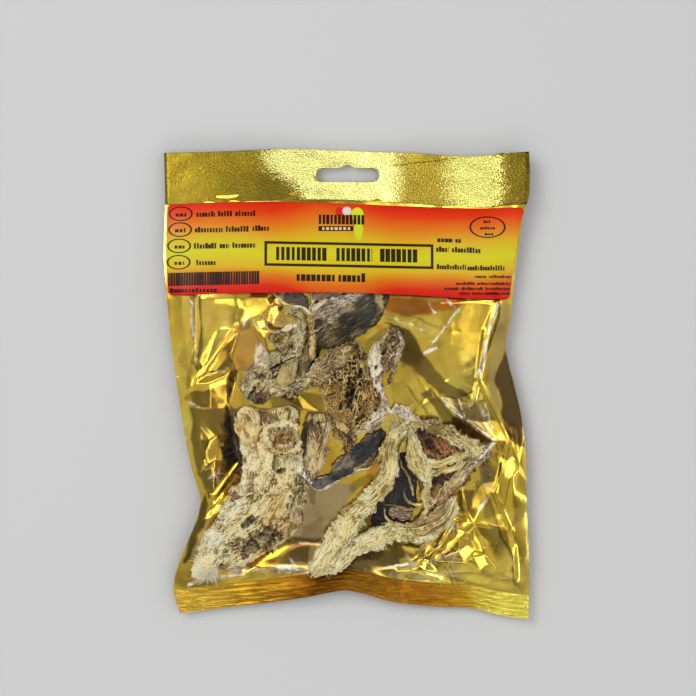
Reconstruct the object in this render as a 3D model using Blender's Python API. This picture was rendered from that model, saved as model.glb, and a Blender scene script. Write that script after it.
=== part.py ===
"""Sealed bag of dried stockfish pieces, lying on its back with the clear front up.

Metres, +Z up.  +Y runs from the bottom seal to the hanging header, and +X to the right
of someone who looks at the front.  The origin is the middle of the bag, on the table.

Three solids lie one on the other:
- gold_back: the gold film behind, with the bottom seal, the header and its hang slot;
- clear_pouch: the clear front film and all that it encloses, out to its draped outline;
- label: the printed label on the front film, below the header.
"""

import math

import bmesh
import bpy
import numpy as np

MM = 0.001

# Film gauges, drawn stiffer than the real film so that each sheet is a sound solid.
FILM = 0.5 * MM
LABEL_FILM = 0.35 * MM
AIR_GAP = 0.3 * MM  # between one solid and the next
POUCH_EDGE = 0.6 * MM  # of the pouch, where front and back film are sealed together

# The flat outline, as (place along the edge, position of the edge) in millimetres.
LEFT_EDGE = [
    (119.6, -94.2), (95.9, -93.5), (63, -94.0), (42.4, -92.4), (21.8, -90.4), (-11.2, -85.7),
    (-44.2, -79.6), (-60.6, -75.2), (-73, -78.5), (-85.4, -83.7), (-108, -89.1), (-118.3, -85.7),
]
RIGHT_EDGE = [
    (119.6, 94.0), (107, 94.3), (96, 93.6), (89, 91.4), (73.3, 89.1), (46.5, 85.7), (35.7, 84.7), (20.2, 82.1),
    (1.2, 86.0), (-13.8, 89.6), (-27.7, 91.7), (-67.9, 93.0), (-94.1, 94.2), (-121.4, 94.0),
]
TOP_EDGE = [
    (-94.2, 119.4), (-65, 120.1), (-28, 121.6), (-9.5, 121.2), (15, 120.1), (34, 119.4),
    (52, 118.1), (71, 117.5), (83, 119.1), (94, 119.9),
]
BOTTOM_EDGE = [
    (-85.7, -118.3), (-65, -115.7), (-40, -112.7), (-22, -110.1), (-9.5, -107.5), (-0.8, -106.2),
    (9, -108.0), (21, -111.6), (34, -113.7), (52, -115.2), (65, -115.6), (77, -118.8), (94, -121.4),
]

# Seams, as fractions of the bag's length from the bottom edge to the top edge.
SEAL_FRACTION = 0.046
HEADER_FRACTION = 0.897

HALF_WIDTH = 94 * MM

# Mesh rows and columns.
COLUMNS = 38
SEAL_ROWS = 2
POUCH_ROWS = 44
HEADER_ROWS = 4
EDGE_CROWDING = 0.15  # how far the columns crowd towards the side seams

# Heights of the back film over the table.
FLAT_SHARE = 0.58  # share of the half width that lies flat
SIDE_LIFT = 6.5 * MM
HEADER_LIFT = 5.6 * MM
HEADER_WAVE = 1.5 * MM
HEADER_WAVE_LENGTH = 126 * MM
HEADER_BEND_AT = 76 * MM  # the right end of the header turns up from here
HEADER_BEND = 0.22
HEADER_RISE_FROM = 50 * MM
HEADER_RISE_TO = 95 * MM
HEADER_DROOP = 0.07  # the header's free edge sags towards the table
SEAL_LIFT = 5.0 * MM
SEAL_WAVE = 1.8 * MM
SEAL_RISE_FROM = -78 * MM
SEAL_RISE_TO = -107 * MM

# How full the bag is: air first, then what the fish pushes up.
PUFF = 13 * MM
PUFF_SIDE, PUFF_FOOT, PUFF_HEAD = 45 * MM, 14 * MM, 85 * MM
PINCH_SIDE, PINCH_FOOT, PINCH_HEAD = 13 * MM, 8 * MM, 38 * MM
DRAPE_SLOPE = 0.62
DRAPE_BLEND = 1.8 * MM

# Where fish lies under the film: (x, y) of a ridge's two ends, its half width and its
# height over the table, in millimetres.
FISH_RIDGES = [
    # the long fillet piece at the left
    (-50, -6, -43.5, -34, 15, 19), (-43.5, -34, -40, -65, 18, 22),
    (-40, -65, -55, -85, 15, 19), (-55, -85, -71, -97, 9, 11),
    # the forked collar piece at the right: outer limb, top limb, web, lower limb
    (27.6, -23.6, 14.7, -54.5, 7, 22), (14.7, -54.5, -0.8, -80, 7, 21), (-0.8, -80, -12, -97, 7, 16),
    (27.6, -23.6, 48, -26, 8, 21), (48, -26, 68, -34, 7, 18), (42, -42, 50, -60, 12, 19),
    (62, -62, 48, -80, 7, 18), (48, -80, 20, -88, 7, 18), (20, -88, -6, -97, 6, 17),
    # the dark skin piece that runs up under the label
    (-16, 21, 13, 40, 12, 18),
    # the ragged piece at the upper left
    (-50, 0, -37, 15, 9, 15), (-37, 15, -19, 35, 8, 15),
    # the spongy piece in the middle, and the skin strip below it
    (-16, -8, 2, 7, 13, 18), (2, 7, 21, 25, 11, 18), (25, -29, -1, -47, 7, 13), (-1, -47, -21, -60, 7, 13),
]

# The broad folds of the front film: the two ends, half width and height, in millimetres.
FOLDS = [
    (76, 42, 69, 20, 8, 3.2), (69, 20, 82, -28, 7, 2.8), (76, -55, 86, -98, 8, 2.8),
    (-78, 42, -80, 2, 8, 2.6), (-57, 40, -73, 4, 8, 3.4), (-68, -30, -60, -60, 8, 2.4),
    (-68, -64, -80, -98, 7, 2.2), (58, 38, 40, 12, 8, 2.0),
]

# Hang slot in the header: a rounded slot with a low arch over its middle.
SLOT_CENTRE = (0.5 * MM, 108.2 * MM)
SLOT_LENGTH = 32 * MM
SLOT_HEIGHT = 7.2 * MM
SLOT_ARCH_WIDTH = 9 * MM
SLOT_ARCH_RISE = 1.7 * MM
ARC_STEPS = 8
CUTTER_HEIGHT = 30 * MM

# Label: how far its ends are from the side seams, and its long edges.
LABEL_TOP = [(-94, 92.6), (-60, 93.8), (-26, 94.0), (0, 93.2), (30, 91.8), (62, 90.6), (94, 91.0)]
LABEL_BOTTOM = [(-94, 45.6), (-44, 47.0), (-3, 47.0), (30, 46.0), (62, 44.2), (94, 43.6)]
LABEL_INSET_LEFT = 1.0 * MM
LABEL_INSET_RIGHT = 1.6 * MM
LABEL_CORNER = 2.5 * MM
LABEL_CROWDING = 1.35  # how far the columns crowd towards the rounded corners
LABEL_COLUMNS = 36
LABEL_ROWS = 8


def clear_scene():
    for obj in list(bpy.data.objects):
        bpy.data.objects.remove(obj, do_unlink=True)


def smooth_curve(stations):
    """A smooth function through (place, value) stations in millimetres, by cubic pieces."""
    place, value = (np.array(column) * MM for column in zip(*sorted(stations)))
    slope = np.gradient(value, place)

    def curve(at):
        at = np.clip(at, place[0], place[-1])
        i = np.clip(np.searchsorted(place, at) - 1, 0, len(place) - 2)
        gap = place[i + 1] - place[i]
        t = (at - place[i]) / gap
        return (
            value[i] * (1 + 2 * t) * (1 - t) ** 2
            + value[i + 1] * t * t * (3 - 2 * t)
            + gap * slope[i] * t * (1 - t) ** 2
            + gap * slope[i + 1] * t * t * (t - 1)
        )

    return curve


left_edge = smooth_curve(LEFT_EDGE)
right_edge = smooth_curve(RIGHT_EDGE)
top_edge = smooth_curve(TOP_EDGE)
bottom_edge = smooth_curve(BOTTOM_EDGE)
label_top = smooth_curve(LABEL_TOP)
label_bottom = smooth_curve(LABEL_BOTTOM)


def ease(start, end, at):
    """0 before start and 1 past end, with a smooth rise between them."""
    t = np.clip((at - start) / (end - start), 0, 1)
    return t * t * (3 - 2 * t)


def swell(t):
    """0 at a seam, rising steeply and then levelling off at 1."""
    return 1 - (1 - np.clip(t, 0, 1)) ** 2


def mix(a, b, share):
    return a + (b - a) * share


def soft_maximum(heights):
    """The upper outline of several heights, with its corners rounded."""
    stack = np.array(heights) / DRAPE_BLEND
    top = stack.max(axis=0)
    return DRAPE_BLEND * (top + np.log(np.exp(stack - top).sum(axis=0)))


def distance_to_line(x, y, x0, y0, x1, y1):
    """Distance from points to a straight stretch, and how far along it the nearest place is."""
    dx, dy = x1 - x0, y1 - y0
    along = np.clip(((x - x0) * dx + (y - y0) * dy) / (dx * dx + dy * dy), 0, 1)
    return np.hypot(x - x0 - along * dx, y - y0 - along * dy), along


def seam_line(x, fraction):
    return mix(bottom_edge(x), top_edge(x), fraction)


def across(x, y):
    """-1 on the left side seam, 1 on the right one."""
    left, right = left_edge(y), right_edge(y)
    return 2 * (x - left) / (right - left) - 1


def back_height(x, y):
    """Underside of the gold film: flat on the table, turned up at the sides and the ends."""
    side = SIDE_LIFT * ease(FLAT_SHARE, 1, np.abs(across(x, y)))
    header = HEADER_LIFT - HEADER_WAVE * np.cos(2 * math.pi * x / HEADER_WAVE_LENGTH)
    header = header + HEADER_BEND * np.maximum(x - HEADER_BEND_AT, 0)
    header = header - HEADER_DROOP * np.maximum(y - HEADER_RISE_TO, 0)
    seal = SEAL_LIFT + SEAL_WAVE * np.cos(2 * math.pi * x / HEADER_WAVE_LENGTH)
    height = mix(side, header, ease(HEADER_RISE_FROM, HEADER_RISE_TO, y))
    return mix(height, seal, ease(SEAL_RISE_FROM, SEAL_RISE_TO, y))


def fold_height(x, y):
    """Broad ridges in the front film, each highest in its middle."""
    height = np.zeros_like(x)
    for fold in FOLDS:
        x0, y0, x1, y1, half_width, rise = (value * MM for value in fold)
        distance, along = distance_to_line(x, y, x0, y0, x1, y1)
        profile = np.clip(1 - distance / half_width, 0, 1) ** 2
        height = height + rise * profile * np.sin(math.pi * (0.1 + 0.8 * along))
    return height


def front_height(x, y):
    """Outside of the clear front film: air swells it, and fish holds it up in soft tents."""
    floor = back_height(x, y) + FILM
    room_side = (1 - np.abs(across(x, y))) * (right_edge(y) - left_edge(y)) / 2
    room_foot = y - seam_line(x, SEAL_FRACTION)
    room_head = seam_line(x, HEADER_FRACTION) - y
    puff = PUFF * swell(room_side / PUFF_SIDE) * swell(room_foot / PUFF_FOOT)
    puff = puff * swell(room_head / PUFF_HEAD)
    pinch = swell(room_side / PINCH_SIDE) * swell(room_foot / PINCH_FOOT)
    pinch = pinch * swell(room_head / PINCH_HEAD)
    tents = [puff]
    for ridge in FISH_RIDGES:
        x0, y0, x1, y1, radius, height = (value * MM for value in ridge)
        distance, _ = distance_to_line(x, y, x0, y0, x1, y1)
        drop = DRAPE_SLOPE * (np.hypot(radius, distance) - radius)
        tents.append((height - drop - floor) * pinch)
    full = np.maximum(soft_maximum(tents), 0) * np.minimum(1, pinch * 4)
    return floor + AIR_GAP + POUCH_EDGE + full + fold_height(x, y) * pinch


def material(name, colour, roughness, metallic=0.0, alpha=1.0):
    made = bpy.data.materials.new(name)
    made.use_nodes = True
    shader = made.node_tree.nodes["Principled BSDF"]
    shader.inputs["Base Color"].default_value = (*colour, 1)
    shader.inputs["Roughness"].default_value = roughness
    shader.inputs["Metallic"].default_value = metallic
    shader.inputs["Alpha"].default_value = alpha
    made.diffuse_color = (*colour, alpha)
    return made


def plate_between(name, columns, rows, place, low, high, finish, collection):
    """A closed solid over a grid: place lays its points out flat, low and high give its two faces."""
    bm = bmesh.new()
    bmesh.ops.create_grid(bm, x_segments=columns, y_segments=rows, size=1)
    bmesh.ops.triangulate(bm, faces=bm.faces[:], quad_method="ALTERNATE")
    upper = set(bm.verts)
    walls = bmesh.ops.extrude_face_region(bm, geom=bm.faces[:], use_keep_orig=True)
    lower = [part for part in walls["geom"] if isinstance(part, bmesh.types.BMVert)]
    for verts, height in ((list(upper), high), (lower, low)):
        u, v = (np.array([vert.co[axis] for vert in verts]) for axis in (0, 1))
        x, y = place(u, v)
        for vert, point in zip(verts, np.column_stack([x, y, height(x, y)])):
            vert.co = point
    bmesh.ops.recalc_face_normals(bm, faces=bm.faces[:])
    mesh = bpy.data.meshes.new(name)
    bm.to_mesh(mesh)
    bm.free()
    mesh.materials.append(finish)
    obj = bpy.data.objects.new(name, mesh)
    collection.objects.link(obj)
    mesh.shade_smooth()
    mesh.set_sharp_from_angle(angle=math.radians(40))
    return obj


def bag_layout(row_fractions):
    """Lays a grid over the bag: rows at the given fractions of its length, columns to the side seams."""

    def place(u, v):
        column = u * (1 + EDGE_CROWDING - EDGE_CROWDING * u * u)
        step = (v + 1) / 2 * (len(row_fractions) - 1)
        fraction = np.interp(step, np.arange(len(row_fractions)), row_fractions)
        x = column * HALF_WIDTH
        for _ in range(3):  # x and y each follow from the other, and settle at once
            y = seam_line(x, fraction)
            x = mix(left_edge(y), right_edge(y), (column + 1) / 2)
        return x, y

    return place


def bag_rows():
    """Fractions of the bag's length at which the rows lie: seal, pouch, header."""
    seal = np.linspace(0, SEAL_FRACTION, SEAL_ROWS + 1)
    pouch = np.linspace(SEAL_FRACTION, HEADER_FRACTION, POUCH_ROWS + 1)
    header = np.linspace(HEADER_FRACTION, 1, HEADER_ROWS + 1)
    return np.concatenate([seal[:-1], pouch, header[1:]]), pouch


def slot_outline():
    """Half circles at both ends of the slot, and a cosine arch over its middle."""
    radius = SLOT_HEIGHT / 2
    reach = SLOT_LENGTH / 2 - radius
    points = []
    for side, start in ((-1, math.pi / 2), (1, -math.pi / 2)):
        for step in range(ARC_STEPS + 1):
            angle = start + math.pi * step / ARC_STEPS
            points.append((side * reach + radius * math.cos(angle), radius * math.sin(angle)))
    for step in range(ARC_STEPS + 1):
        t = step / ARC_STEPS
        rise = SLOT_ARCH_RISE * (1 - math.cos(2 * math.pi * t)) / 2
        points.append((SLOT_ARCH_WIDTH * (0.5 - t), radius + rise))
    return [(SLOT_CENTRE[0] + x, SLOT_CENTRE[1] + y) for x, y in points]


def slot_cutter(collection):
    bm = bmesh.new()
    face = bm.faces.new([bm.verts.new((x, y, -CUTTER_HEIGHT / 2)) for x, y in slot_outline()])
    walls = bmesh.ops.extrude_face_region(bm, geom=[face], use_keep_orig=True)
    top = [part for part in walls["geom"] if isinstance(part, bmesh.types.BMVert)]
    bmesh.ops.translate(bm, verts=top, vec=(0, 0, CUTTER_HEIGHT))
    bmesh.ops.recalc_face_normals(bm, faces=bm.faces[:])
    mesh = bpy.data.meshes.new("hang_slot_cutter")
    bm.to_mesh(mesh)
    bm.free()
    cutter = bpy.data.objects.new("hang_slot_cutter", mesh)
    cutter.display_type = "WIRE"
    cutter.hide_render = True
    collection.objects.link(cutter)
    return cutter


def make_gold_back(collection, cutters):
    rows, _ = bag_rows()
    back = plate_between(
        "gold_back", COLUMNS, len(rows) - 1, bag_layout(rows),
        back_height, lambda x, y: back_height(x, y) + FILM,
        material("gold_film", (0.80, 0.60, 0.16), 0.22, metallic=1.0), collection,
    )
    slot = back.modifiers.new("hang_slot", "BOOLEAN")
    slot.operation = "DIFFERENCE"
    slot.solver = "EXACT"
    slot.object = slot_cutter(cutters)
    return back


def make_clear_pouch(collection):
    _, rows = bag_rows()
    return plate_between(
        "clear_pouch", COLUMNS, len(rows) - 1, bag_layout(rows),
        lambda x, y: back_height(x, y) + FILM + AIR_GAP, front_height,
        material("clear_film_over_fish", (0.62, 0.53, 0.33), 0.12), collection,
    )


def label_layout(u, v):
    """Lays a grid over the label, its end columns crowded into the rounded corners."""
    row = (v + 1) / 2
    column = np.sign(u) * (1 - (1 - np.abs(u)) ** LABEL_CROWDING)
    y_middle = mix(label_bottom(0.0), label_top(0.0), row)
    left = left_edge(y_middle) + LABEL_INSET_LEFT
    right = right_edge(y_middle) - LABEL_INSET_RIGHT
    x = mix(left, right, (column + 1) / 2)
    from_end = np.minimum(x - left, right - x)
    reach = np.clip(LABEL_CORNER - from_end, 0, LABEL_CORNER)
    cut = LABEL_CORNER - np.sqrt(np.maximum(LABEL_CORNER**2 - reach**2, 0))
    low, high = label_bottom(x) + cut, label_top(x) - cut
    return x, mix(low, high, row)


def make_label(collection):
    return plate_between(
        "label", LABEL_COLUMNS, LABEL_ROWS, label_layout,
        lambda x, y: front_height(x, y) + AIR_GAP,
        lambda x, y: front_height(x, y) + AIR_GAP + LABEL_FILM,
        material("label_print", (0.85, 0.40, 0.06), 0.3), collection,
    )


def new_collection(name):
    collection = bpy.data.collections.new(name)
    bpy.context.scene.collection.children.link(collection)
    return collection


def main():
    clear_scene()
    bag = new_collection("stockfish_bag")
    cutters = new_collection("cutters")
    make_gold_back(bag, cutters)
    make_clear_pouch(bag)
    make_label(bag)


main()
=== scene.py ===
"""Looks of the sealed bag of dried stockfish: gold foil back, clear front film, printed
label, embossed header, ribbed foot seal and the pieces of fish inside.

Shapes are worked out in millimetres and become metres when a mesh is made.  The frame is
the CAD's: +Y to the header, +X to the right of someone facing the front, +Z out of it.
"""

import itertools
import math
from types import SimpleNamespace

import bmesh
import bpy
import numpy as np
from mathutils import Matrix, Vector
from mathutils.geometry import delaunay_2d_cdt


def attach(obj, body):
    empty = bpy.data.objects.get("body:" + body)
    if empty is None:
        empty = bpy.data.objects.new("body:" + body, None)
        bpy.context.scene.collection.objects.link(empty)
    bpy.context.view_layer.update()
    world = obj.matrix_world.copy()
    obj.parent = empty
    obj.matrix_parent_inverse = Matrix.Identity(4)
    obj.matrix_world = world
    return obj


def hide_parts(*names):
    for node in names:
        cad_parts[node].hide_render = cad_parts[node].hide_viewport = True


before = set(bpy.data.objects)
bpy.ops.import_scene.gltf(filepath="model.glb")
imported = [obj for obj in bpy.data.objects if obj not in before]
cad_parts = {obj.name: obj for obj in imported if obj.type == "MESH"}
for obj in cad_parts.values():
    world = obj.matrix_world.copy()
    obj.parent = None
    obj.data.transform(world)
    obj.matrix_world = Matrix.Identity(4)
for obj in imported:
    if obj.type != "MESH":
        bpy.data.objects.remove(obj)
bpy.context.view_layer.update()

MM = 0.001

# ---------------------------------------------------------------- the bag's own sizes, mm
LEFT_EDGE = [
    (119.6, -94.2), (95.9, -93.5), (63, -94.0), (42.4, -92.4), (21.8, -90.4), (-11.2, -85.7),
    (-44.2, -79.6), (-60.6, -75.2), (-73, -78.5), (-85.4, -83.7), (-108, -89.1), (-118.3, -85.7),
]
RIGHT_EDGE = [
    (119.6, 94.0), (107, 94.3), (96, 93.6), (89, 91.4), (73.3, 89.1), (46.5, 85.7), (35.7, 84.7),
    (20.2, 82.1), (1.2, 86.0), (-13.8, 89.6), (-27.7, 91.7), (-67.9, 93.0), (-94.1, 94.2), (-121.4, 94.0),
]
TOP_EDGE = [
    (-94.2, 119.4), (-65, 120.1), (-28, 121.6), (-9.5, 121.2), (15, 120.1), (34, 119.4),
    (52, 118.1), (71, 117.5), (83, 119.1), (94, 119.9),
]
BOTTOM_EDGE = [
    (-85.7, -118.3), (-65, -115.7), (-40, -112.7), (-22, -110.1), (-9.5, -107.5), (-0.8, -106.2),
    (9, -108.0), (21, -111.6), (34, -113.7), (52, -115.2), (65, -115.6), (77, -118.8), (94, -121.4),
]
LABEL_TOP = [(-94, 92.6), (-60, 93.8), (-26, 94.0), (0, 93.2), (30, 91.8), (62, 90.6), (94, 91.0)]
LABEL_BOTTOM = [(-94, 45.6), (-44, 47.0), (-3, 47.0), (30, 46.0), (62, 44.2), (94, 43.6)]
LABEL_INSET_LEFT, LABEL_INSET_RIGHT = 1.0, 1.6
LABEL_CORNER = 2.5
SEAL_FRACTION, HEADER_FRACTION = 0.046, 0.897
FLAT_SHARE, SIDE_LIFT = 0.58, 6.5
HEADER_LIFT, HEADER_WAVE, WAVE_LENGTH = 5.6, 1.5, 126
HEADER_BEND_AT, HEADER_BEND, HEADER_DROOP = 76, 0.22, 0.07
HEADER_RISE_FROM, HEADER_RISE_TO = 50, 95
SEAL_LIFT, SEAL_WAVE, SEAL_RISE_FROM, SEAL_RISE_TO = 5.0, 1.8, -78, -107
SLOT_X, SLOT_Y, SLOT_LENGTH, SLOT_HEIGHT = 0.5, 108.2, 32, 7.2
SLOT_ARCH_WIDTH, SLOT_ARCH_RISE = 9, 1.7
FILM_LIFT = 0.9  # of the front film over the foil along the side seams
FOIL_THICKNESS, UNDER_CRUMPLE = 0.25, 0.06
BAG_HALF_WIDTH = 95
SEAM_X = 94.0  # about where the side seams run


# ---------------------------------------------------------------- numbers and curves
def random_at(cells, seed):
    """A repeatable random number from 0 to 1 for whole-number places: their bits are mixed."""
    mixed = np.full(np.shape(cells[0]), (seed * 374761393 + 668265263) & 0xFFFFFFFF, np.uint32)
    for axis, prime in zip(cells, (73856093, 19349663, 83492791)):
        mixed ^= (np.asarray(axis).astype(np.int64) * prime & 0xFFFFFFFF).astype(np.uint32)
        mixed ^= mixed >> np.uint32(15)
        mixed = mixed * np.uint32(2246822519)
        mixed ^= mixed >> np.uint32(13)
    return mixed / 4294967296.0


def noise(coords, seed):
    """Smooth noise from -1 to 1: random numbers on a lattice, blended by eased steps."""
    coords = np.broadcast_arrays(*coords)
    whole = [np.floor(c) for c in coords]
    eased = [t**3 * (10 - 15 * t + 6 * t * t) for t in (c - w for c, w in zip(coords, whole))]
    total = 0
    for corner in itertools.product((0, 1), repeat=len(coords)):
        weight = 1
        for bit, t in zip(corner, eased):
            weight = weight * (t if bit else 1 - t)
        total = total + weight * random_at([w + bit for w, bit in zip(whole, corner)], seed)
    return 2 * total - 1


def fractal(coords, octaves, seed, keep=0.5):
    """Noise at halving sizes, each added with less weight; from about -1 to 1."""
    total, weight, most = 0, 1.0, 0
    for octave in range(octaves):
        total = total + weight * noise([c * 2**octave + 17.3 * octave for c in coords], seed + octave)
        most += weight
        weight *= keep
    return total / most * 1.5


def cells(x, y, seed):
    """Distances to the nearest and next of one random point in each unit square, and its own number."""
    near, second, own = np.full(x.shape, 9.0), np.full(x.shape, 9.0), np.zeros(x.shape)
    for dx, dy in itertools.product((-1, 0, 1), repeat=2):
        cell = (np.floor(x) + dx, np.floor(y) + dy)
        away = np.hypot(x - cell[0] - random_at(cell, seed), y - cell[1] - random_at(cell, seed + 1))
        closer = away < near
        second = np.where(closer, near, np.minimum(second, away))
        own = np.where(closer, random_at(cell, seed + 2), own)
        near = np.where(closer, away, near)
    return near, second, own


def ease(start, end, at):
    """0 before start and 1 past end, with a smooth rise between them."""
    t = np.clip((at - start) / (end - start), 0, 1)
    return t * t * (3 - 2 * t)


def swell(t):
    """0 at a seam, rising steeply and then levelling off at 1."""
    return 1 - (1 - np.clip(t, 0, 1)) ** 2


def mix(a, b, share):
    """a where the share is 0, b where it is 1."""
    return a + (b - a) * share


def cubic(value, slope, place, at):
    """Values between (place, value) rows, by cubic pieces that have the given slope at each row."""
    i = np.clip(np.searchsorted(place, at) - 1, 0, len(place) - 2)
    gap = place[i + 1] - place[i]
    t = (at - place[i]) / gap
    if value.ndim > 1:
        gap, t = gap[:, None], t[:, None]
    return (
        value[i] * (1 + 2 * t) * (1 - t) ** 2 + value[i + 1] * t * t * (3 - 2 * t)
        + gap * slope[i] * t * (1 - t) ** 2 + gap * slope[i + 1] * t * t * (t - 1)
    )


def through(rows, share):
    """Smooth curves through rows of values, read at shares of the way along the rows' x and y."""
    rows = np.array(rows, float)
    gaps = np.hypot(*np.diff(rows[:, :2], axis=0).T)
    place = np.concatenate([[0], np.cumsum(gaps)]) / gaps.sum()
    return cubic(rows, np.gradient(rows, place, axis=0), place, share)


def smooth_curve(stations):
    """A smooth function through (place, value) stations, level past their ends."""
    place, value = (np.array(column, float) for column in zip(*sorted(stations)))
    slope = np.gradient(value, place)
    return lambda at: cubic(value, slope, place, np.clip(at, place[0], place[-1]))


left_edge, right_edge = smooth_curve(LEFT_EDGE), smooth_curve(RIGHT_EDGE)
top_edge, bottom_edge = smooth_curve(TOP_EDGE), smooth_curve(BOTTOM_EDGE)
label_top, label_bottom = smooth_curve(LABEL_TOP), smooth_curve(LABEL_BOTTOM)


def seam_line(x, fraction):
    """y of a line that runs across the bag at a fraction of its length."""
    return mix(bottom_edge(x), top_edge(x), fraction)


def across(x, y):
    """-1 on the left side seam, 1 on the right one."""
    left, right = left_edge(y), right_edge(y)
    return 2 * (x - left) / (right - left) - 1


def place_on_bag(column, fraction):
    """x and y for a place from -1 to 1 across the bag and 0 to 1 along it."""
    x = column * SEAM_X
    for _ in range(3):  # x and y each follow from the other, and settle at once
        y = seam_line(x, fraction)
        x = mix(left_edge(y), right_edge(y), (column + 1) / 2)
    return x, y


def back_height(x, y):
    """Underside of the gold film: flat on the table, turned up at the sides and the ends."""
    side = SIDE_LIFT * ease(FLAT_SHARE, 1, np.abs(across(x, y)))
    header = HEADER_LIFT - HEADER_WAVE * np.cos(2 * math.pi * x / WAVE_LENGTH)
    header = header + HEADER_BEND * np.maximum(x - HEADER_BEND_AT, 0)
    header = header - HEADER_DROOP * np.maximum(y - HEADER_RISE_TO, 0)
    seal = SEAL_LIFT + SEAL_WAVE * np.cos(2 * math.pi * x / WAVE_LENGTH)
    height = mix(side, header, ease(HEADER_RISE_FROM, HEADER_RISE_TO, y))
    return mix(height, seal, ease(SEAL_RISE_FROM, SEAL_RISE_TO, y))


def distance_to_line(x, y, x0, y0, x1, y1):
    """Distance from points to a straight stretch, and how far along it the nearest place is."""
    dx, dy = x1 - x0, y1 - y0
    along = np.clip(((x - x0) * dx + (y - y0) * dy) / (dx * dx + dy * dy), 0, 1)
    return np.hypot(x - x0 - along * dx, y - y0 - along * dy), along


# ---------------------------------------------------------------- meshes
def grid_faces(rows, columns, wrap=False):
    """Quads over a grid of points numbered row by row; wrap joins the last column to the first."""
    row, column = np.meshgrid(np.arange(rows - 1), np.arange(columns - (not wrap)), indexing="ij")
    ahead = (column + 1) % columns
    near, far = row * columns, (row + 1) * columns
    return np.stack([near + column, near + ahead, far + ahead, far + column], axis=-1).reshape(-1, 4)


def mesh_from(name, points, quads, triangles=None):
    """A mesh from arrays of points in millimetres and of corner numbers."""
    mesh = bpy.data.meshes.new(name)
    triangles = np.zeros((0, 3), int) if triangles is None else triangles
    corners = np.concatenate([quads.ravel(), triangles.ravel()]).astype(np.int32)
    sizes = np.concatenate([np.full(len(quads), 4), np.full(len(triangles), 3)])
    starts = np.concatenate([[0], np.cumsum(sizes)[:-1]]).astype(np.int32)
    mesh.vertices.add(len(points))
    mesh.vertices.foreach_set("co", (points * MM).astype(np.float32).ravel())
    mesh.loops.add(len(corners))
    mesh.loops.foreach_set("vertex_index", corners)
    mesh.polygons.add(len(sizes))
    mesh.polygons.foreach_set("loop_start", starts)
    mesh.update(calc_edges=True)
    mesh.validate()
    mesh.shade_smooth()
    return mesh


def sheet_mesh(name, x, y, z, wrap=False, flip=False):
    """A mesh over a grid of places in millimetres; flip turns its faces over."""
    faces = grid_faces(*x.shape, wrap)
    return mesh_from(name, np.stack([x, y, z], -1).reshape(-1, 3), faces[:, ::-1] if flip else faces)


def tube_faces(count, joints, sides):
    """Quads of closed four-sided tubes, whose points are numbered ring by ring and tube by tube."""
    caps = np.array([[3, 2, 1, 0], (joints - 1) * sides + np.arange(sides)])
    one = np.vstack([grid_faces(joints, sides, wrap=True), caps])
    return (one[None] + (np.arange(count) * joints * sides)[:, None, None]).reshape(-1, 4)


def add_piece(name, mesh, finish, slot, *nodes):
    """Puts a mesh into the scene as a piece of the object that rides on the bag."""
    piece = bpy.data.objects.new(name, mesh)
    bpy.context.scene.collection.objects.link(piece)
    mesh.materials.append(finish)
    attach(piece, "root")
    if nodes:
        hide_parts(*nodes)
    return piece


def thicken(piece, thickness):
    """Gives a sheet its thickness, below its face."""
    wall = piece.modifiers.new("thickness", "SOLIDIFY")
    wall.thickness = thickness * MM
    wall.offset = -1
    return piece


def paint(mesh, name, *channels):
    """Stores numbers from 0 to 1 for each vertex as a colour attribute that the material reads."""
    values = np.ones((len(mesh.vertices), 4), np.float32)
    for i, channel in enumerate(channels):
        values[:, i] = np.clip(np.asarray(channel).ravel(), 0, 1)
    mesh.attributes.new(name, "FLOAT_COLOR", "POINT").data.foreach_set("color", values.ravel())


def store_uv(mesh, u, v):
    """Gives each vertex a place on the piece's flat pattern, the same from all its faces."""
    corners = np.empty(len(mesh.loops), np.int32)
    mesh.loops.foreach_get("vertex_index", corners)
    flat = np.column_stack([u.ravel(), v.ravel()])[corners]
    mesh.uv_layers.new(name="pattern").data.foreach_set("uv", flat.astype(np.float32).ravel())


# ---------------------------------------------------------------- shader helpers
class Value:
    """What a node puts out.  Arithmetic on it adds Math nodes to the same tree."""

    def __init__(self, tree, socket):
        self.tree, self.socket = tree, socket

    def __add__(self, other):
        return calc("ADD", self, other)

    def __sub__(self, other):
        return calc("SUBTRACT", self, other)

    def __rsub__(self, other):
        return calc("SUBTRACT", other, self)

    def __mul__(self, other):
        return calc("MULTIPLY", self, other)

    def __truediv__(self, other):
        return calc("DIVIDE", self, other)

    def __abs__(self):
        return calc("ABSOLUTE", self)


class Node:
    """A node of a tree, whose outputs are read by name or number."""

    def __init__(self, tree, made):
        self.tree, self.made = tree, made

    def __getitem__(self, key):
        return Value(self.tree, self.made.outputs[key])


def add_node(tree, kind, values=None, **settings):
    """A shader node; values sets or links its inputs, by name or number."""
    made = tree.nodes.new("ShaderNode" + kind)
    for name, value in settings.items():
        setattr(made, name, value)
    for key, value in (values or {}).items():
        if isinstance(value, Value):
            tree.links.new(value.socket, made.inputs[key])
        else:
            made.inputs[key].default_value = value
    return Node(tree, made)


def tree_of(*values):
    """The tree in which the first of the values that comes from a node stands."""
    return next(value.tree for value in values if isinstance(value, Value))


def calc(operation, *values):
    """A Math node's output."""
    return add_node(tree_of(*values), "Math", dict(enumerate(values)), operation=operation)[0]


def plus_times(value, factor, offset):
    """The value times a factor, plus an offset, in one node."""
    return calc("MULTIPLY_ADD", value, factor, offset)


def vector_math(operation, *values):
    """A Vector Math node."""
    return add_node(tree_of(*values), "VectorMath", dict(enumerate(values)), operation=operation)


def blend(share, a, b, kind="MIX"):
    """A colour between two, or one laid over the other."""
    values = {0: share, 6: a, 7: b}
    return add_node(tree_of(share, a, b), "Mix", values, data_type="RGBA", blend_type=kind)[2]


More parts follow.
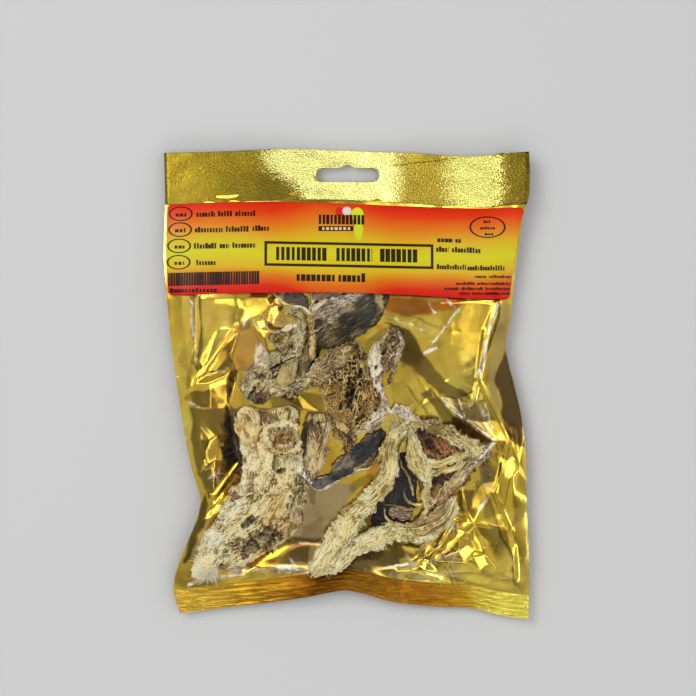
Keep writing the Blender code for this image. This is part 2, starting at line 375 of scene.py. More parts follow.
def steps(share, *stops):
    """A colour ramp through (place, colour) stops."""
    ramped = add_node(share.tree, "ValToRGB", {0: share})
    ramp = ramped.made.color_ramp
    while len(ramp.elements) < len(stops):
        ramp.elements.new(0.5)
    for element, (place, colour) in zip(ramp.elements, stops):
        element.position = place
        element.color = (*colour, 1)
    return ramped[0]


def rerange(value, low, high, to_low=0.0, to_high=1.0):
    """A value eased from one range to another."""
    values = {0: value, 1: low, 2: high, 3: to_low, 4: to_high}
    return add_node(value.tree, "MapRange", values, interpolation_type="SMOOTHSTEP")[0]


def share_across(place):
    """0 at the bag's left edge and 1 at its right one, in a straight line."""
    along_x = add_node(place.tree, "SeparateXYZ", {0: place})["X"]
    return add_node(place.tree, "MapRange", {0: along_x, 1: -BAG_HALF_WIDTH * MM, 2: BAG_HALF_WIDTH * MM})[0]


def texture(kind, place, scale, **values):
    """A texture node in the given place; its scale is in repeats a metre."""
    named = {key.title(): value for key, value in values.items()}
    return add_node(place.tree, kind, {"Vector": place, "Scale": scale, **named})


def object_place(tree, stretch=(1, 1, 1)):
    """The piece's own coordinates in metres, stretched."""
    at = add_node(tree, "TexCoord")["Object"]
    return add_node(tree, "Mapping", {"Vector": at, "Scale": stretch})[0]


def painted(tree):
    """The numbers that are painted on the mesh, as a colour's parts."""
    return add_node(tree, "SeparateColor", {0: add_node(tree, "VertexColor", layer_name="relief")[0]})


def srgb(red, green, blue):
    """A colour as a screen shows it, from 0 to 255, turned into light."""
    shown = (red / 255, green / 255, blue / 255)
    return tuple(c / 12.92 if c <= 0.04045 else ((c + 0.055) / 1.055) ** 2.4 for c in shown)


def opaque(red, green, blue):
    """A colour as a screen shows it, turned into light, for a node's input."""
    return (*srgb(red, green, blue), 1)


def new_material(name):
    """An empty material and its tree."""
    made = bpy.data.materials.new(name)
    made.use_nodes = True
    made.node_tree.nodes.clear()
    return made, made.node_tree


def surface_of(tree, shader, kind="ShaderNodeOutputMaterial"):
    """Puts a shader on its tree's output."""
    tree.links.new(shader[0].socket, tree.nodes.new(kind).inputs[0])


def principled(tree, specular=0.5, **values):
    """A Principled shader on the output."""
    named = {key.replace("_", " ").title(): value for key, value in values.items()}
    surface_of(tree, add_node(tree, "BsdfPrincipled", {**named, "Specular IOR Level": specular}))


def new_group(name, inputs):
    """A shader node group and its inputs, which are named and take their kind from their first value."""
    tree = bpy.data.node_groups.new(name, "ShaderNodeTree")
    for label, value in inputs.items():
        kind = {1: "NodeSocketFloat", 3: "NodeSocketVector", 4: "NodeSocketColor"}[np.size(value)]
        tree.interface.new_socket(label, in_out="INPUT", socket_type=kind).default_value = value
    return tree, Node(tree, tree.nodes.new("NodeGroupInput"))


def put_out(tree, **outputs):
    """Gives a group its outputs, which are numbers apart from Color; returns the group."""
    for label in outputs:
        kind = "NodeSocketColor" if label == "Color" else "NodeSocketFloat"
        tree.interface.new_socket(label, in_out="OUTPUT", socket_type=kind)
    end = tree.nodes.new("NodeGroupOutput")
    for label, value in outputs.items():
        tree.links.new(value.socket, end.inputs[label])
    return tree


def use_group(tree, group, **values):
    """The group in a material's tree, with this material's own values."""
    named = {key.capitalize(): value for key, value in values.items()}
    return add_node(tree, "Group", named, node_tree=group)


def bump(height, strength):
    """A normal that follows a height in metres."""
    return add_node(height.tree, "Bump", {"Height": height, "Strength": strength, "Distance": 1.0})[0]


# ---------------------------------------------------------------- node groups
def make_crinkle_group():
    """Flat facets: each cell of a Voronoi pattern is a plane that leans its own way."""
    tree, given = new_group("foil crinkle", {"Vector": (0, 0, 0), "Scale": 100.0, "Lean": 0.3})
    pattern = add_node(tree, "TexVoronoi", {"Vector": given["Vector"], "Scale": given["Scale"]})
    lean = vector_math("SUBTRACT", pattern["Color"], (0.5, 0.5, 0.5))[0]
    offset = vector_math("SUBTRACT", given["Vector"], pattern["Position"])[0]
    rise = vector_math("DOT_PRODUCT", lean, offset)["Value"]
    return put_out(tree, Height=rise * given["Lean"])


def make_flesh_group():
    """Dried flesh: fibres and pores in four tones, from pale crust to dark hollows, with painted light and
    shade: the tone rises with the bump's height, and Hollow and the low places between fibres are painted
    dark.
    """
    tree, given = new_group("dried flesh", {
        "Vector": (0, 0, 0), "Tone": 0.5, "Hollow": 0.0, "Stain": 0.0,
        "Pale": (0.7, 0.62, 0.42, 1), "Straw": (0.5, 0.4, 0.2, 1),
        "Brown": (0.2, 0.12, 0.05, 1), "Deep": (0.04, 0.02, 0.01, 1),
    })
    place = given["Vector"]
    fibre = texture("TexNoise", place, 900.0, detail=5.0, roughness=0.62)[0]
    patch = texture("TexNoise", place, 140.0, detail=3.0, roughness=0.6)[0]
    crumb = texture("TexVoronoi", place, 1250.0)["Distance"]
    drift = texture("TexNoise", place, 75.0, detail=2.0)[0]
    # Painted light and shade: fibres and crumbs lighter where the bump stands high and darker between them.
    tone = given["Tone"] + (fibre - 0.5) * 1.15 + (patch - 0.5) * 0.95 + (0.38 - crumb) * 0.45
    tone = plus_times(tone, 1.3, -0.14)
    low = blend(rerange(tone, 0.05, 0.45), given["Brown"], given["Straw"])
    colour = blend(rerange(tone, 0.4, 0.9), low, given["Pale"])
    hue = steps(drift, (0.36, (1.0, 0.83, 0.56)), (0.5, (1.0, 1.0, 1.0)), (0.66, (0.80, 0.83, 0.90)))
    colour = blend(0.8, colour, hue, "MULTIPLY")
    colour = blend(given["Stain"], colour, opaque(138, 88, 34))
    # Painted shade: the Hollow input, and the low places between the fibres.
    dark = calc("MAXIMUM", given["Hollow"], rerange(fibre, 0.42, 0.30) * 0.5)
    return put_out(
        tree, Color=blend(dark, colour, given["Deep"]), Roughness=rerange(tone, 0.0, 1.0, 0.55, 0.85),
        Height=fibre * 0.00065 + crumb * -0.00035,
    )


def print_group(name, **more):
    """A group for a mark of the print: its tree, its inputs, and how far to the right of and above
    the mark's middle a place lies."""
    sizes = {"X": 0.0, "Y": 0.0, "Width": 0.0, "Height": 0.0}
    tree, given = new_group(name, {"Place": (0, 0, 0), **sizes, **more})
    at = add_node(tree, "SeparateXYZ", {0: given["Place"]})
    return tree, given, at["X"] - given["X"], at["Y"] - given["Y"]


def inside_bar(given, dx, dy):
    """How far inside a bar's nearest edge a place lies."""
    return calc("MINIMUM", given["Width"] * 0.5 - abs(dx), given["Height"] * 0.5 - abs(dy))


def print_edge(depth):
    """0 outside an edge of the print and 1 inside it, with a soft step between."""
    return rerange(depth, -PRINT_BLUR, PRINT_BLUR)


def make_bar_group():
    """A mask for a bar, whose right end stands higher by Lean."""
    tree, given, dx, dy = print_group("print bar", Lean=0.0)
    return put_out(tree, Mask=print_edge(inside_bar(given, dx, dy - dx * given["Lean"])))


def make_oval_group():
    """A mask for an oval line, or for a full oval where Line is as wide as the oval."""
    tree, given, dx, dy = print_group("print oval", Line=0.0)
    a, b = dx / (given["Width"] * 0.5), dy / (given["Height"] * 0.5)
    inside = (1.0 - calc("SQRT", a * a + b * b)) * (given["Height"] * 0.5)
    return put_out(tree, Mask=print_edge(inside) - print_edge(inside - given["Line"]))


def make_words_group():
    """A mask for a leaning row of small upright blocks, which stands where the pack has a line of words.

    Each cell of the row's pitch holds one block; its width, and whether it is low or tall, are random.
    """
    tree, given, dx, dy = print_group("print words", Lean=0.0, Row=0.0, Pitch=1.5, Fill=0.8, Low=0.7)
    dy = dy - dx * given["Lean"]
    cell = (dx + given["Width"] * 0.5) / given["Pitch"]
    number = calc("FLOOR", cell) + given["Row"]
    own = add_node(tree, "TexWhiteNoise", {"W": number}, noise_dimensions="1D")["Value"]
    off_middle = abs(calc("FRACT", cell) - 0.5)
    block = rerange(given["Fill"] * plus_times(own, 0.25, 0.37) - off_middle, -0.06, 0.06)
    tall = calc("GREATER_THAN", calc("FRACT", own * 7.0), given["Low"])
    below_top = given["Height"] * plus_times(tall, 0.25, 0.25) - dy
    above_foot = dy - given["Height"] * -0.5
    in_x = given["Width"] * 0.5 - abs(dx)
    inside = calc("MINIMUM", in_x, calc("MINIMUM", below_top, above_foot))
    return put_out(tree, Mask=block * print_edge(inside))


# ---------------------------------------------------------------- materials
def make_foil_material():
    """Crumpled gold foil: mirror-like facets at two sizes, with a little waviness, and painted reflections
    and shade: its relief names the places that are painted dark for shade and for dark things mirrored,
    and orange or tan for warm things mirrored."""
    made, tree = new_material("crumpled gold foil")
    crinkle, place = make_crinkle_group(), object_place(tree)
    warp = texture("TexNoise", place, 60.0, detail=2.0)["Color"]
    warped = vector_math("MULTIPLY_ADD", warp, (0.004, 0.004, 0.0), place)[0]
    large = use_group(tree, crinkle, vector=warped, scale=90.0, lean=0.02)[0]
    small = use_group(tree, crinkle, vector=warped, scale=190.0, lean=0.012)[0]
    wave = texture("TexNoise", place, 90.0, detail=2.0)[0]
    normal = bump(large + (small + wave * 0.00008), 1.0)
    shade = texture("TexNoise", place, 26.0, detail=3.0)[0]
    brown, gold, yellow = (0.62, 0.40, 0.036), (0.80, 0.55, 0.066), (0.90, 0.70, 0.13)
    colour = steps(shade, (0.34, brown), (0.52, gold), (0.7, yellow))
    mirrored = painted(tree)
    # Painted reflections and shade: tan and orange stand in for warm things the foil mirrors, such as the
    # fish and the label, and dark for shade and for dark things mirrored.
    colour = blend(mirrored["Blue"], colour, (0.44, 0.33, 0.17, 1))
    colour = blend(mirrored["Green"], colour, (0.62, 0.20, 0.014, 1))
    colour = blend(mirrored["Red"], colour, (0.128, 0.072, 0.012, 1))
    principled(tree, base_color=colour, metallic=1.0, roughness=0.12, normal=normal)
    return made


def make_header_material():
    """Embossed satin gold: a fine leather grain pressed into the doubled film, with painted reflections:
    pale and dull bands across it stand in for how brightly the satin gold mirrors the lamps and the room,
    and a painted shade lies in the lower part of the dull band beside the pale one.
    """
    made, tree = new_material("embossed gold header")
    place = object_place(tree)
    grain = texture("TexVoronoi", place, 1150.0)["Distance"]
    fine_grain = texture("TexNoise", place, 900.0, detail=2.0)[0]
    normal = bump(grain * 0.00036 + fine_grain * 0.0002, 0.3)
    share = share_across(place)
    up = rerange(add_node(tree, "SeparateXYZ", {0: place})["Y"], 0.097, 0.117)
    drift = texture("TexNoise", place, 22.0, detail=2.0)[0]
    mottle = texture("TexNoise", place, 1150.0, detail=2.0, roughness=0.6)[0]
    wander = plus_times(drift, 0.10, -0.05) + plus_times(mottle, 0.14, -0.07)
    slope = plus_times(up, 0.07, -0.035) * rerange(share, 0.6, 0.4)
    place_across = share + (wander + slope)
    # Painted reflections: band colours for how brightly the header mirrors the lamps and the room.
    dull, mid, pale = (0.293, 0.211, 0.020), (0.437, 0.315, 0.038), (1.0, 0.945, 0.31)
    yellow, shaded, dark = (1.0, 0.94, 0.25), (0.195, 0.14, 0.014), (0.14, 0.098, 0.010)
    colour = steps(
        place_across, (0.0, dull), (0.305, dull), (0.345, pale), (0.61, pale), (0.655, mid), (0.76, mid),
        (0.82, yellow), (0.895, yellow), (0.925, shaded), (1.0, dark),
    )
    # Painted shade in the lower part of the dull band, beside the pale one.
    lower_left_shade = rerange(share, 0.13, 0.24) * rerange(up, 0.9, 0.35) * rerange(place_across, 0.345, 0.30)
    colour = blend(lower_left_shade * 0.75, colour, (*shaded, 1))
    colour = blend(1.0, colour, rerange(mottle, 0.34, 0.66, 0.88, 1.07), "MULTIPLY")
    principled(tree, base_color=colour, metallic=1.0, roughness=0.27, normal=normal)
    return made


def make_seal_material():
    """The foot seal: gold that is brightest at its ends, darkest brown a little left of its middle, and
    streaked.
    """
    made, tree = new_material("ribbed gold seal")
    place = object_place(tree)
    streak = texture("TexNoise", object_place(tree, (0.12, 1, 1)), 700.0, detail=4.0)[0]
    drift = texture("TexNoise", place, 40.0, detail=3.0)[0]
    share = share_across(place) + plus_times(drift, 0.16, -0.08)
    colour = steps(
        share, (0.0, (0.86, 0.57, 0.075)), (0.12, (0.74, 0.46, 0.055)), (0.25, (0.48, 0.26, 0.02)),
        (0.34, (0.32, 0.135, 0.011)), (0.43, (0.17, 0.055, 0.004)), (0.53, (0.29, 0.125, 0.01)),
        (0.72, (0.34, 0.15, 0.012)), (0.82, (0.56, 0.31, 0.025)), (0.90, (0.96, 0.82, 0.12)),
        (1.0, (1.0, 0.88, 0.13)),
    )
    colour = blend(1.0, colour, rerange(streak, 0.35, 0.62, 0.83, 1.06), "MULTIPLY")
    principled(tree, base_color=colour, metallic=1.0, roughness=0.22, normal=bump(streak * 0.0007, 0.6))
    return made


def make_film_material():
    """Clear film: see-through, mirroring more where it is seen at a slant, with a painted sheen: along the
    listed crease lines it mirrors far more, and more roughly, standing in for the whitish highlights there.
    """
    made, tree = new_material("clear film")
    wave = texture("TexNoise", object_place(tree), 90.0, detail=4.0, roughness=0.55)[0]
    normal = bump(wave * 0.0007, 0.8)
    slant = calc("POWER", add_node(tree, "LayerWeight", {"Blend": 0.5, "Normal": normal})["Facing"], 4.0)
    # Painted sheen: along the crease lines the share of rough mirror rises steeply.
    creased = painted(tree)["Red"]
    share = plus_times(slant, 0.9, 0.006) + creased * 0.8
    matt = plus_times(creased, 0.45, 0.06)
    clear = add_node(tree, "BsdfTransparent", {"Color": (0.985, 0.985, 0.975, 1)})
    gloss = add_node(tree, "BsdfGlossy", {"Color": (1, 1, 1, 1), "Roughness": matt, "Normal": normal})
    surface_of(tree, add_node(tree, "MixShader", {0: share, 1: clear[0], 2: gloss[0]}))
    return made


def make_flesh_material(group, name, pale, straw, brown, deep, stretch, coat):
    """Dried flesh in a piece's own colours, with fibres along its path; its relief sets the painted shade of
    hollows, pits, cracks and gaps, the tone with its painted light and shade, and the stains.
    """
    made, tree = new_material(name)
    flat = add_node(tree, "UVMap", uv_map="pattern")[0]
    place = vector_math("MULTIPLY", flat, (0.1, 0.1 * stretch, 0.1))[0]
    relief = painted(tree)
    flesh = use_group(
        tree, group, vector=place, tone=relief["Green"], hollow=relief["Red"], stain=relief["Blue"],
        pale=opaque(*pale), straw=opaque(*straw), brown=opaque(*brown), deep=opaque(*deep),
    )
    principled(
        tree, base_color=flesh["Color"], roughness=flesh["Roughness"], normal=bump(flesh["Height"], 1.0),
        coat_weight=coat, coat_roughness=0.25,
    )
    return made


# Marks of the print, mm.  Ovals: middle, width and height.  Rows of blocks: left end, right end,
# middle, height, pitch and lean.
LABEL_OVALS = [
    (-85.3, 87.8, 12.6, 7.6), (-85.6, 79.6, 12.6, 7.6), (-86.1, 71.2, 12.6, 7.6), (-86.3, 62.8, 12.6, 7.6),
    (72.5, 80.8, 18.8, 11.2),
]
LABEL_WORDS = [
    (-77.4, -67.6, 87.6, 2.9, 1.5, 0.01), (-66.2, -58.6, 87.8, 2.9, 1.5, 0.01),
    (-57.2, -46.4, 88, 2.9, 1.5, 0.01), (-78, -63.6, 79.6, 2.9, 1.5, 0.01),
    (-62.2, -50.2, 79.9, 2.9, 1.5, 0.01), (-48.6, -39.4, 80.3, 2.9, 1.5, 0.01),
    (-78.6, -66.6, 71.2, 2.9, 1.5, 0.01), (-65.2, -60.2, 71.4, 2.9, 1.5, 0.01),
    (-58.8, -46.4, 71.6, 2.9, 1.5, 0.01), (-77.4, -67.1, 62.6, 2.7, 1.5, 0),
    (-91, -66, 48.4, 2.4, 1.9, 0.01), (-26, -6, 55.2, 4.6, 2.6, -0.02), (-4.6, 10, 54.8, 4.6, 2.4, -0.02),
    (46.6, 54.6, 74.3, 2.6, 1.9, -0.02), (55.8, 58.9, 74, 2.6, 1.5, -0.02),
    (45.9, 52.4, 69.4, 2.8, 1.5, -0.03), (54, 68.8, 69, 2.8, 1.5, -0.03),
    (46.3, 61.4, 60.3, 2.6, 1.3, -0.02), (62, 81.6, 59.8, 2.6, 1.3, 0), (65.8, 72, 55.4, 1.5, 1, 0),
    (73, 84.7, 55.4, 1.5, 1, 0), (56, 66, 51.8, 1.6, 1, 0), (67, 84.7, 51.8, 1.6, 1, 0),
    (50, 57.6, 49.2, 1.6, 1, 0), (58.6, 70, 49.2, 1.6, 1, 0), (71, 84.7, 49.2, 1.6, 1, 0),
    (57.7, 63.4, 46.7, 1.5, 1, 0), (64.4, 84.7, 46.7, 1.5, 1, 0), (-88.2, -82.4, 87.4, 2.2, 2.2, 0),
    (-88.4, -82.8, 79.3, 2.2, 2.2, 0), (-88.8, -83.2, 70.9, 2.2, 2.2, 0), (-88.9, -83.4, 62.5, 2.2, 2.2, 0),
    (68.6, 76.4, 80.4, 1.5, 1.3, 0), (70.5, 74, 83.6, 1.4, 1.2, 0), (71, 75.4, 77.3, 1.6, 1.6, 0),
]
TITLE_WORDS = [
    (-36.6, -10, 67, 6.8, 2.66, -0.02), (-5.6, 13.2, 66.5, 6.8, 2.6, -0.02),
    (17, 36.8, 66.1, 6.8, 2.8, -0.02),
]
# Filled ovals of the mark in the middle, from the lowest to the topmost, and their colours.
COLOURED_OVALS = [
    ((-3.6, 89.0, 4.4, 4.6), (214, 40, 30)), ((0.2, 89.2, 4.6, 4.6), (226, 214, 208)),
    ((5.6, 87.4, 6.4, 7.4), (214, 222, 40)), ((6.2, 79.8, 4.6, 11.0), (206, 216, 40)),
]
OVAL_LINE, FULL, PRINT_BLUR = 0.6, 9, 0.1
ALL_TALL = -1  # as the share of low blocks


def make_label_material():
    """Glossy print: red at the long edges, through orange to yellow in the middle, with plain dark marks."""
    made, tree = new_material("label print")
    bar, oval, words = make_bar_group(), make_oval_group(), make_words_group()
    flat = add_node(tree, "UVMap", uv_map="pattern")[0]
    place = vector_math("MULTIPLY", flat, (100, 100, 0))[0]
    drift = texture("TexNoise", object_place(tree), 16.0, detail=1.0)[0]
    share = painted(tree)["Red"] + (drift - 0.5) * 0.26
    across_it = add_node(tree, "SeparateXYZ", {0: object_place(tree)})["X"]
    middle = rerange(abs(across_it + 0.006), 0.034, 0.008)
    share = calc("MULTIPLY_ADD", share - 0.5, plus_times(middle, -0.24, 1.0), 0.5)
    colour = steps(
        share, (0.0, srgb(208, 12, 2)), (0.10, srgb(212, 38, 6)), (0.21, srgb(218, 112, 22)),
        (0.31, srgb(216, 180, 30)), (0.45, srgb(212, 204, 32)), (0.58, srgb(214, 184, 32)),
        (0.73, srgb(222, 126, 26)), (0.88, srgb(224, 60, 12)), (1.0, srgb(214, 20, 5)),
    )

    def mark_bar(x, y, width, height, lean=0.0):
        """A bar's mask."""
        return use_group(tree, bar, place=place, x=x, y=y, width=width, height=height, lean=lean)[0]

    def mark_oval(x, y, width, height, line=FULL):
        """The mask of an oval or of its line."""
        return use_group(tree, oval, place=place, x=x, y=y, width=width, height=height, line=line)[0]

    def mark_words(left, right, y, height, pitch, lean, row, fill=0.8, low=0.7):
        """The mask of a row of blocks between two places."""
        sizes = dict(x=(left + right) / 2, y=y, width=right - left, height=height, lean=lean)
        return use_group(tree, words, place=place, **sizes, pitch=pitch, row=row, fill=fill, low=low)[0]

    marks = [mark_oval(*sizes, OVAL_LINE) for sizes in LABEL_OVALS]
    marks += [mark_words(*sizes, number * 31) for number, sizes in enumerate(LABEL_WORDS)]
    for number, sizes in enumerate(TITLE_WORDS):
        marks.append(mark_words(*sizes, 900 + number * 17, 0.72, ALL_TALL))
    marks.append(mark_words(-92, -44.6, 54.4, 6.8, 1.35, 0.02, 700, 0.95, ALL_TALL))
    marks.append(mark_bar(1.3, 66.4, 86.8, 12.8, -0.02) - mark_bar(1.3, 66.4, 84.0, 10.0, -0.02))
    marks.append(mark_words(-14.6, 9.6, 84.8, 5.0, 2.0, -0.01, 500, 0.7, ALL_TALL))
    marks.append(mark_bar(-5.4, 80.1, 18, 2.6))
    ink = marks[0]
    for mark in marks[1:]:
        ink = calc("MAXIMUM", ink, mark)
    for sizes, tint in COLOURED_OVALS:
        colour = blend(mark_oval(*sizes), colour, opaque(*tint))
    colour = blend(ink * 0.97, colour, opaque(22, 8, 4))
    colour = blend(mark_words(-13, 2, 80.1, 1.4, 2.2, 0, 300, 0.7, ALL_TALL), colour, opaque(230, 200, 180))
    principled(tree, specular=0.14, base_color=colour, roughness=0.22)
    return made


def make_thread_material(name, light, dark):
    """Threads and twigs: each its own shade between two."""
    made, tree = new_material(name)
    principled(tree, base_color=blend(painted(tree)["Green"], opaque(*dark), opaque(*light)), roughness=0.7)
    return made


# ---------------------------------------------------------------- fish pieces
def strip(stations, rows, columns, under, square, blunt, ragged, seed):
    """A long closed form carried along a path: stations give x, y, z, half width and half thickness.

    Each cross section is a superellipse, |across|^n + |up|^n = 1, cut into more columns
    above than below; the ends close by the same rule along the path.  The edges wander in
    and out by ragged (size of the steps, how far).
    """
    share = np.linspace(0, 1, rows + 2)[1:-1]
    path = through(stations, share)
    centre, half_width, half_height = path[:, :3], path[:, 3], path[:, 4]
    along = np.concatenate([[0], np.cumsum(np.hypot(*np.diff(centre[:, :2], axis=0).T))])
    ahead = np.gradient(centre[:, :2], axis=0)
    ahead /= np.linalg.norm(ahead, axis=1)[:, None]
    side = np.column_stack([ahead[:, 1], -ahead[:, 0]])
    close = (1 - np.abs(2 * share - 1) ** blunt) ** (1 / blunt)
    over = np.linspace(-1, 1, columns)
    over = mix(over, np.sin(over * math.pi / 2), 0.6)
    below = np.linspace(1, -1, under + 2)[1:-1]
    cross = np.concatenate([over, below])
    up = np.concatenate([np.ones(columns), -np.ones(under)])
    profile = np.clip(1 - np.abs(cross) ** square, 0, 1) ** (1 / square) * up
    sway = np.zeros((rows, len(cross)))
    for sign in (-1, 1):
        wander = fractal([along / ragged[0], along * 0 + sign * 9.7], 4, seed, 0.6) * ragged[1]
        sway += wander[:, None] * np.where(cross * sign > 0, np.abs(cross) ** 3 * sign, 0)
    offset = cross * (half_width * close)[:, None] + sway * np.minimum(close, 1)[:, None] ** 2
    points = np.zeros((rows, len(cross), 3))
    points[..., :2] = centre[:, None, :2] + side[:, None] * offset[..., None]
    points[..., 2] = centre[:, None, 2] + profile * (half_height * close)[:, None]
    ends = through(stations, np.array([0.0, 1.0]))[:, :3]
    over_it = offset + np.sign(cross) * (1 - profile) * (half_height * close)[:, None]
    return {
        "points": points, "ends": ends, "along": along[:, None] + 0 * offset, "over": over_it, "top": up > 0,
        "cross": cross + 0 * offset,
    }


def normals_of(points):
    """Outward directions on a grid of points that wraps round from column to column."""
    down = np.gradient(points, axis=0)
    round_it = np.roll(points, -1, axis=1) - np.roll(points, 1, axis=1)
    normal = np.cross(round_it, down)
    normal /= np.maximum(np.linalg.norm(normal, axis=2, keepdims=True), 1e-9)
    return normal


def hollow_field(x, y, hollows, seed):
    """How deep each place lies in the listed hollows, and a share from 0 to 1 that says so for colour.

    Each is x, y, half length, half width, turn in degrees, depth and, where it isn't fully dark, how
    dark; its edge is uneven.
    """
    depth, share = np.zeros(x.shape), np.zeros(x.shape)
    uneven = fractal([x / 4, y / 4], 4, seed, 0.65)
    for cx, cy, length, width, turn, deep, *dark in hollows:
        c, s = math.cos(math.radians(turn)), math.sin(math.radians(turn))
        a, b = (x - cx) * c + (y - cy) * s, (y - cy) * c - (x - cx) * s
        inside = 1 - np.hypot(a / length, b / width) + 0.5 * uneven
        depth = np.maximum(depth, deep * ease(0, 0.5, inside))
        share = np.maximum(share, (dark[0] if dark else 1) * ease(-0.02, 0.3, inside))
    return depth, share


def neighbours(grid):
    """Each cell and its four neighbours; past the rim, the rim's own value stands."""
    wide = np.pad(grid, 1, mode="edge")
    return wide[1:-1, 1:-1], wide[:-2, 1:-1], wide[2:, 1:-1], wide[1:-1, :-2], wide[1:-1, 2:]


def soften(grid, rounds):
    """Each cell takes the mean of itself, which counts twice, and its neighbours, this many times over."""
    for _ in range(rounds):
        own, *around = neighbours(grid)
        grid = sum(around, 2 * own) / 6
    return grid


TUBE_SIDES = 4
TOP_GAP, UNDER_GAP, END_GAP = 0.3, 0.1, 0.2  # mm that a piece's sides and ends stay above the foil


def add_strands(name, finish, surface, normal, tone, hollows, seed, count, length, radius, splay):
    """Torn fibres that lie on a piece, as flat four-sided tubes.

    Each runs over the surface from a random place, up to splay degrees off the piece's path,
    and lifts a little towards its end; past the edge it goes straight on.
    """
    rows, columns = surface.shape[:2]
    joints, furthest_past, flatness = 7, 1.8, 0.45
    who = np.arange(count)
    number = [random_at((who, who * 0 + k), seed)[:, None] for k in range(8)]
    root = surface[(number[2] * (rows - 1)).astype(int), (number[3] * (columns - 1)).astype(int)][:, 0]
    torn = fractal([root[:, 0] / 9, root[:, 1] / 9], 2, seed + 3) > 0.0
    near_edge = np.abs(number[3][:, 0] - 0.5) > 0.40
    _, hollow = hollow_field(root[:, 0], root[:, 1], hollows, seed - 30)
    kept = (torn | near_edge) & (hollow < 0.3 + 0.6 * (number[6][:, 0] < 0.12))
    number = [values[kept] for values in number]
    count = int(kept.sum())
    t = np.linspace(0, 1, joints)[None]
    row_step = np.linalg.norm(np.diff(surface[:, columns // 2], axis=0), axis=1).mean()
    column_step = np.linalg.norm(np.diff(surface[rows // 2], axis=0), axis=1).mean()
    reach = length * (0.35 + 1.3 * number[0] ** 2)
    heading = np.radians((number[1] - 0.5) * 2 * splay)
    row = number[2] * (rows - 1) + (np.cos(heading) * t) * reach / row_step
    sway = 0.25 * (number[4] - 0.5) * np.sin(math.pi * t * (1 + number[5]))
    column = mix(0.03, 0.97, number[3]) * (columns - 1) + (np.sin(heading) * t + sway) * reach / column_step
    held_row, held_column = np.clip(row, 0, rows - 1.001), np.clip(column, 0, columns - 1.001)
    spine = sample(surface, held_row, held_column)
    up = sample(normal, held_row, held_column)
    across_it = surface[:, -1] - surface[:, 0]
    across_it[:, 2] = 0
    across_it /= np.linalg.norm(across_it, axis=1, keepdims=True)
    ahead = np.cross((0, 0, 1), across_it)
    ahead *= np.sign((ahead[rows // 2] * (surface[-1, columns // 2] - surface[0, columns // 2])).sum())
    past_side = np.clip((column - held_column) * column_step, -furthest_past, furthest_past)
    past_end = np.clip((row - held_row) * row_step, -furthest_past, furthest_past)
    spine = spine + across_it[held_row.astype(int)] * past_side[..., None]
    spine = spine + ahead[held_row.astype(int)] * past_end[..., None]
    spine = spine + up * (0.3 * radius + 0.7 * number[6] ** 3 * t**2)[..., None]
    run = np.gradient(spine, axis=1)
    run /= np.maximum(np.linalg.norm(run, axis=2, keepdims=True), 1e-9)
    wide = np.cross(up, run)
    turn = np.arange(TUBE_SIDES) * 2 * math.pi / TUBE_SIDES
    size = radius * (0.35 + number[7] ** 1.5) * (1 - np.abs(2 * t - 1) ** 3 * 0.8)
    ring = wide[:, :, None] * np.cos(turn)[:, None] + up[:, :, None] * flatness * np.sin(turn)[:, None]
    points = (spine[:, :, None] + ring * size[:, :, None, None]).reshape(-1, 3)
    mesh = mesh_from(name, points, tube_faces(count, joints, TUBE_SIDES))
    each = joints * TUBE_SIDES
    shades = (0.6 * number[5] ** 4, tone + 0.12 + 0.8 * (number[4] - 0.5), number[0] * 0)
    paint(mesh, "relief", *(np.repeat(shade, each) for shade in shades))
    distance = np.repeat(np.broadcast_to(reach * t, row.shape).ravel(), TUBE_SIDES)
    store_uv(mesh, np.repeat(number[0] * 37 + number[3], each) % 1.0, distance / 100)
    return add_piece(name, mesh, finish, "dried_fish")


def closed_at_ends(rows, ring):
    """Triangles from the first and last ring of a grid to a point beyond each, numbered after the grid."""
    this = np.arange(ring)
    following = np.roll(this, -1)
    start, last = rows * ring, (rows - 1) * ring
    first = np.column_stack([np.full(ring, start), following, this])
    return np.vstack([first, np.column_stack([np.full(ring, start + 1), last + this, last + following])])


# A plain piece of fish.  Path: size of the steps of its ragged edge and how far they reach, and how
# square its section and how blunt its ends are.  Relief in mm: fibre, furrow, pores, lumps, crust and
# crack.  Places: how far fibres sway, their width, the size of the pores, the share that is spongy.
# Colour: its tone, its lean across the piece, its change at the rim, patches, how much broad relief
# counts in the painted light and shade, and how dark the painted shade in gaps gets.  Hollows, whose
# darkness is painted shade, and stains are lists, and strands are the count, length, half width and
# splay of the torn fibres on it.
PLAIN_FISH = dict(
    ragged=(2.4, 1), square=2.4, blunt=8, sway=1, fibre=0.5, fibre_width=1.1, furrow=0.7, pores=0.8,
    pore_size=2.2, spongy=0.1, lumps=0.8, crust=0.3, crack=0.5, tone=0.5, lean=0, rim=0, patches=0.5,
    broad=0.22, gaps=0.8, strands=None, hollows=(), stains=(),
)


def off_the_foil(points, gap):
    """The points, raised where they would come nearer to the foil than the gap."""
    lowest = back_height(points[..., 0], points[..., 1]) + FOIL_THICKNESS + gap
    return np.concatenate([points[..., :2], np.maximum(points[..., 2], lowest)[..., None]], -1)


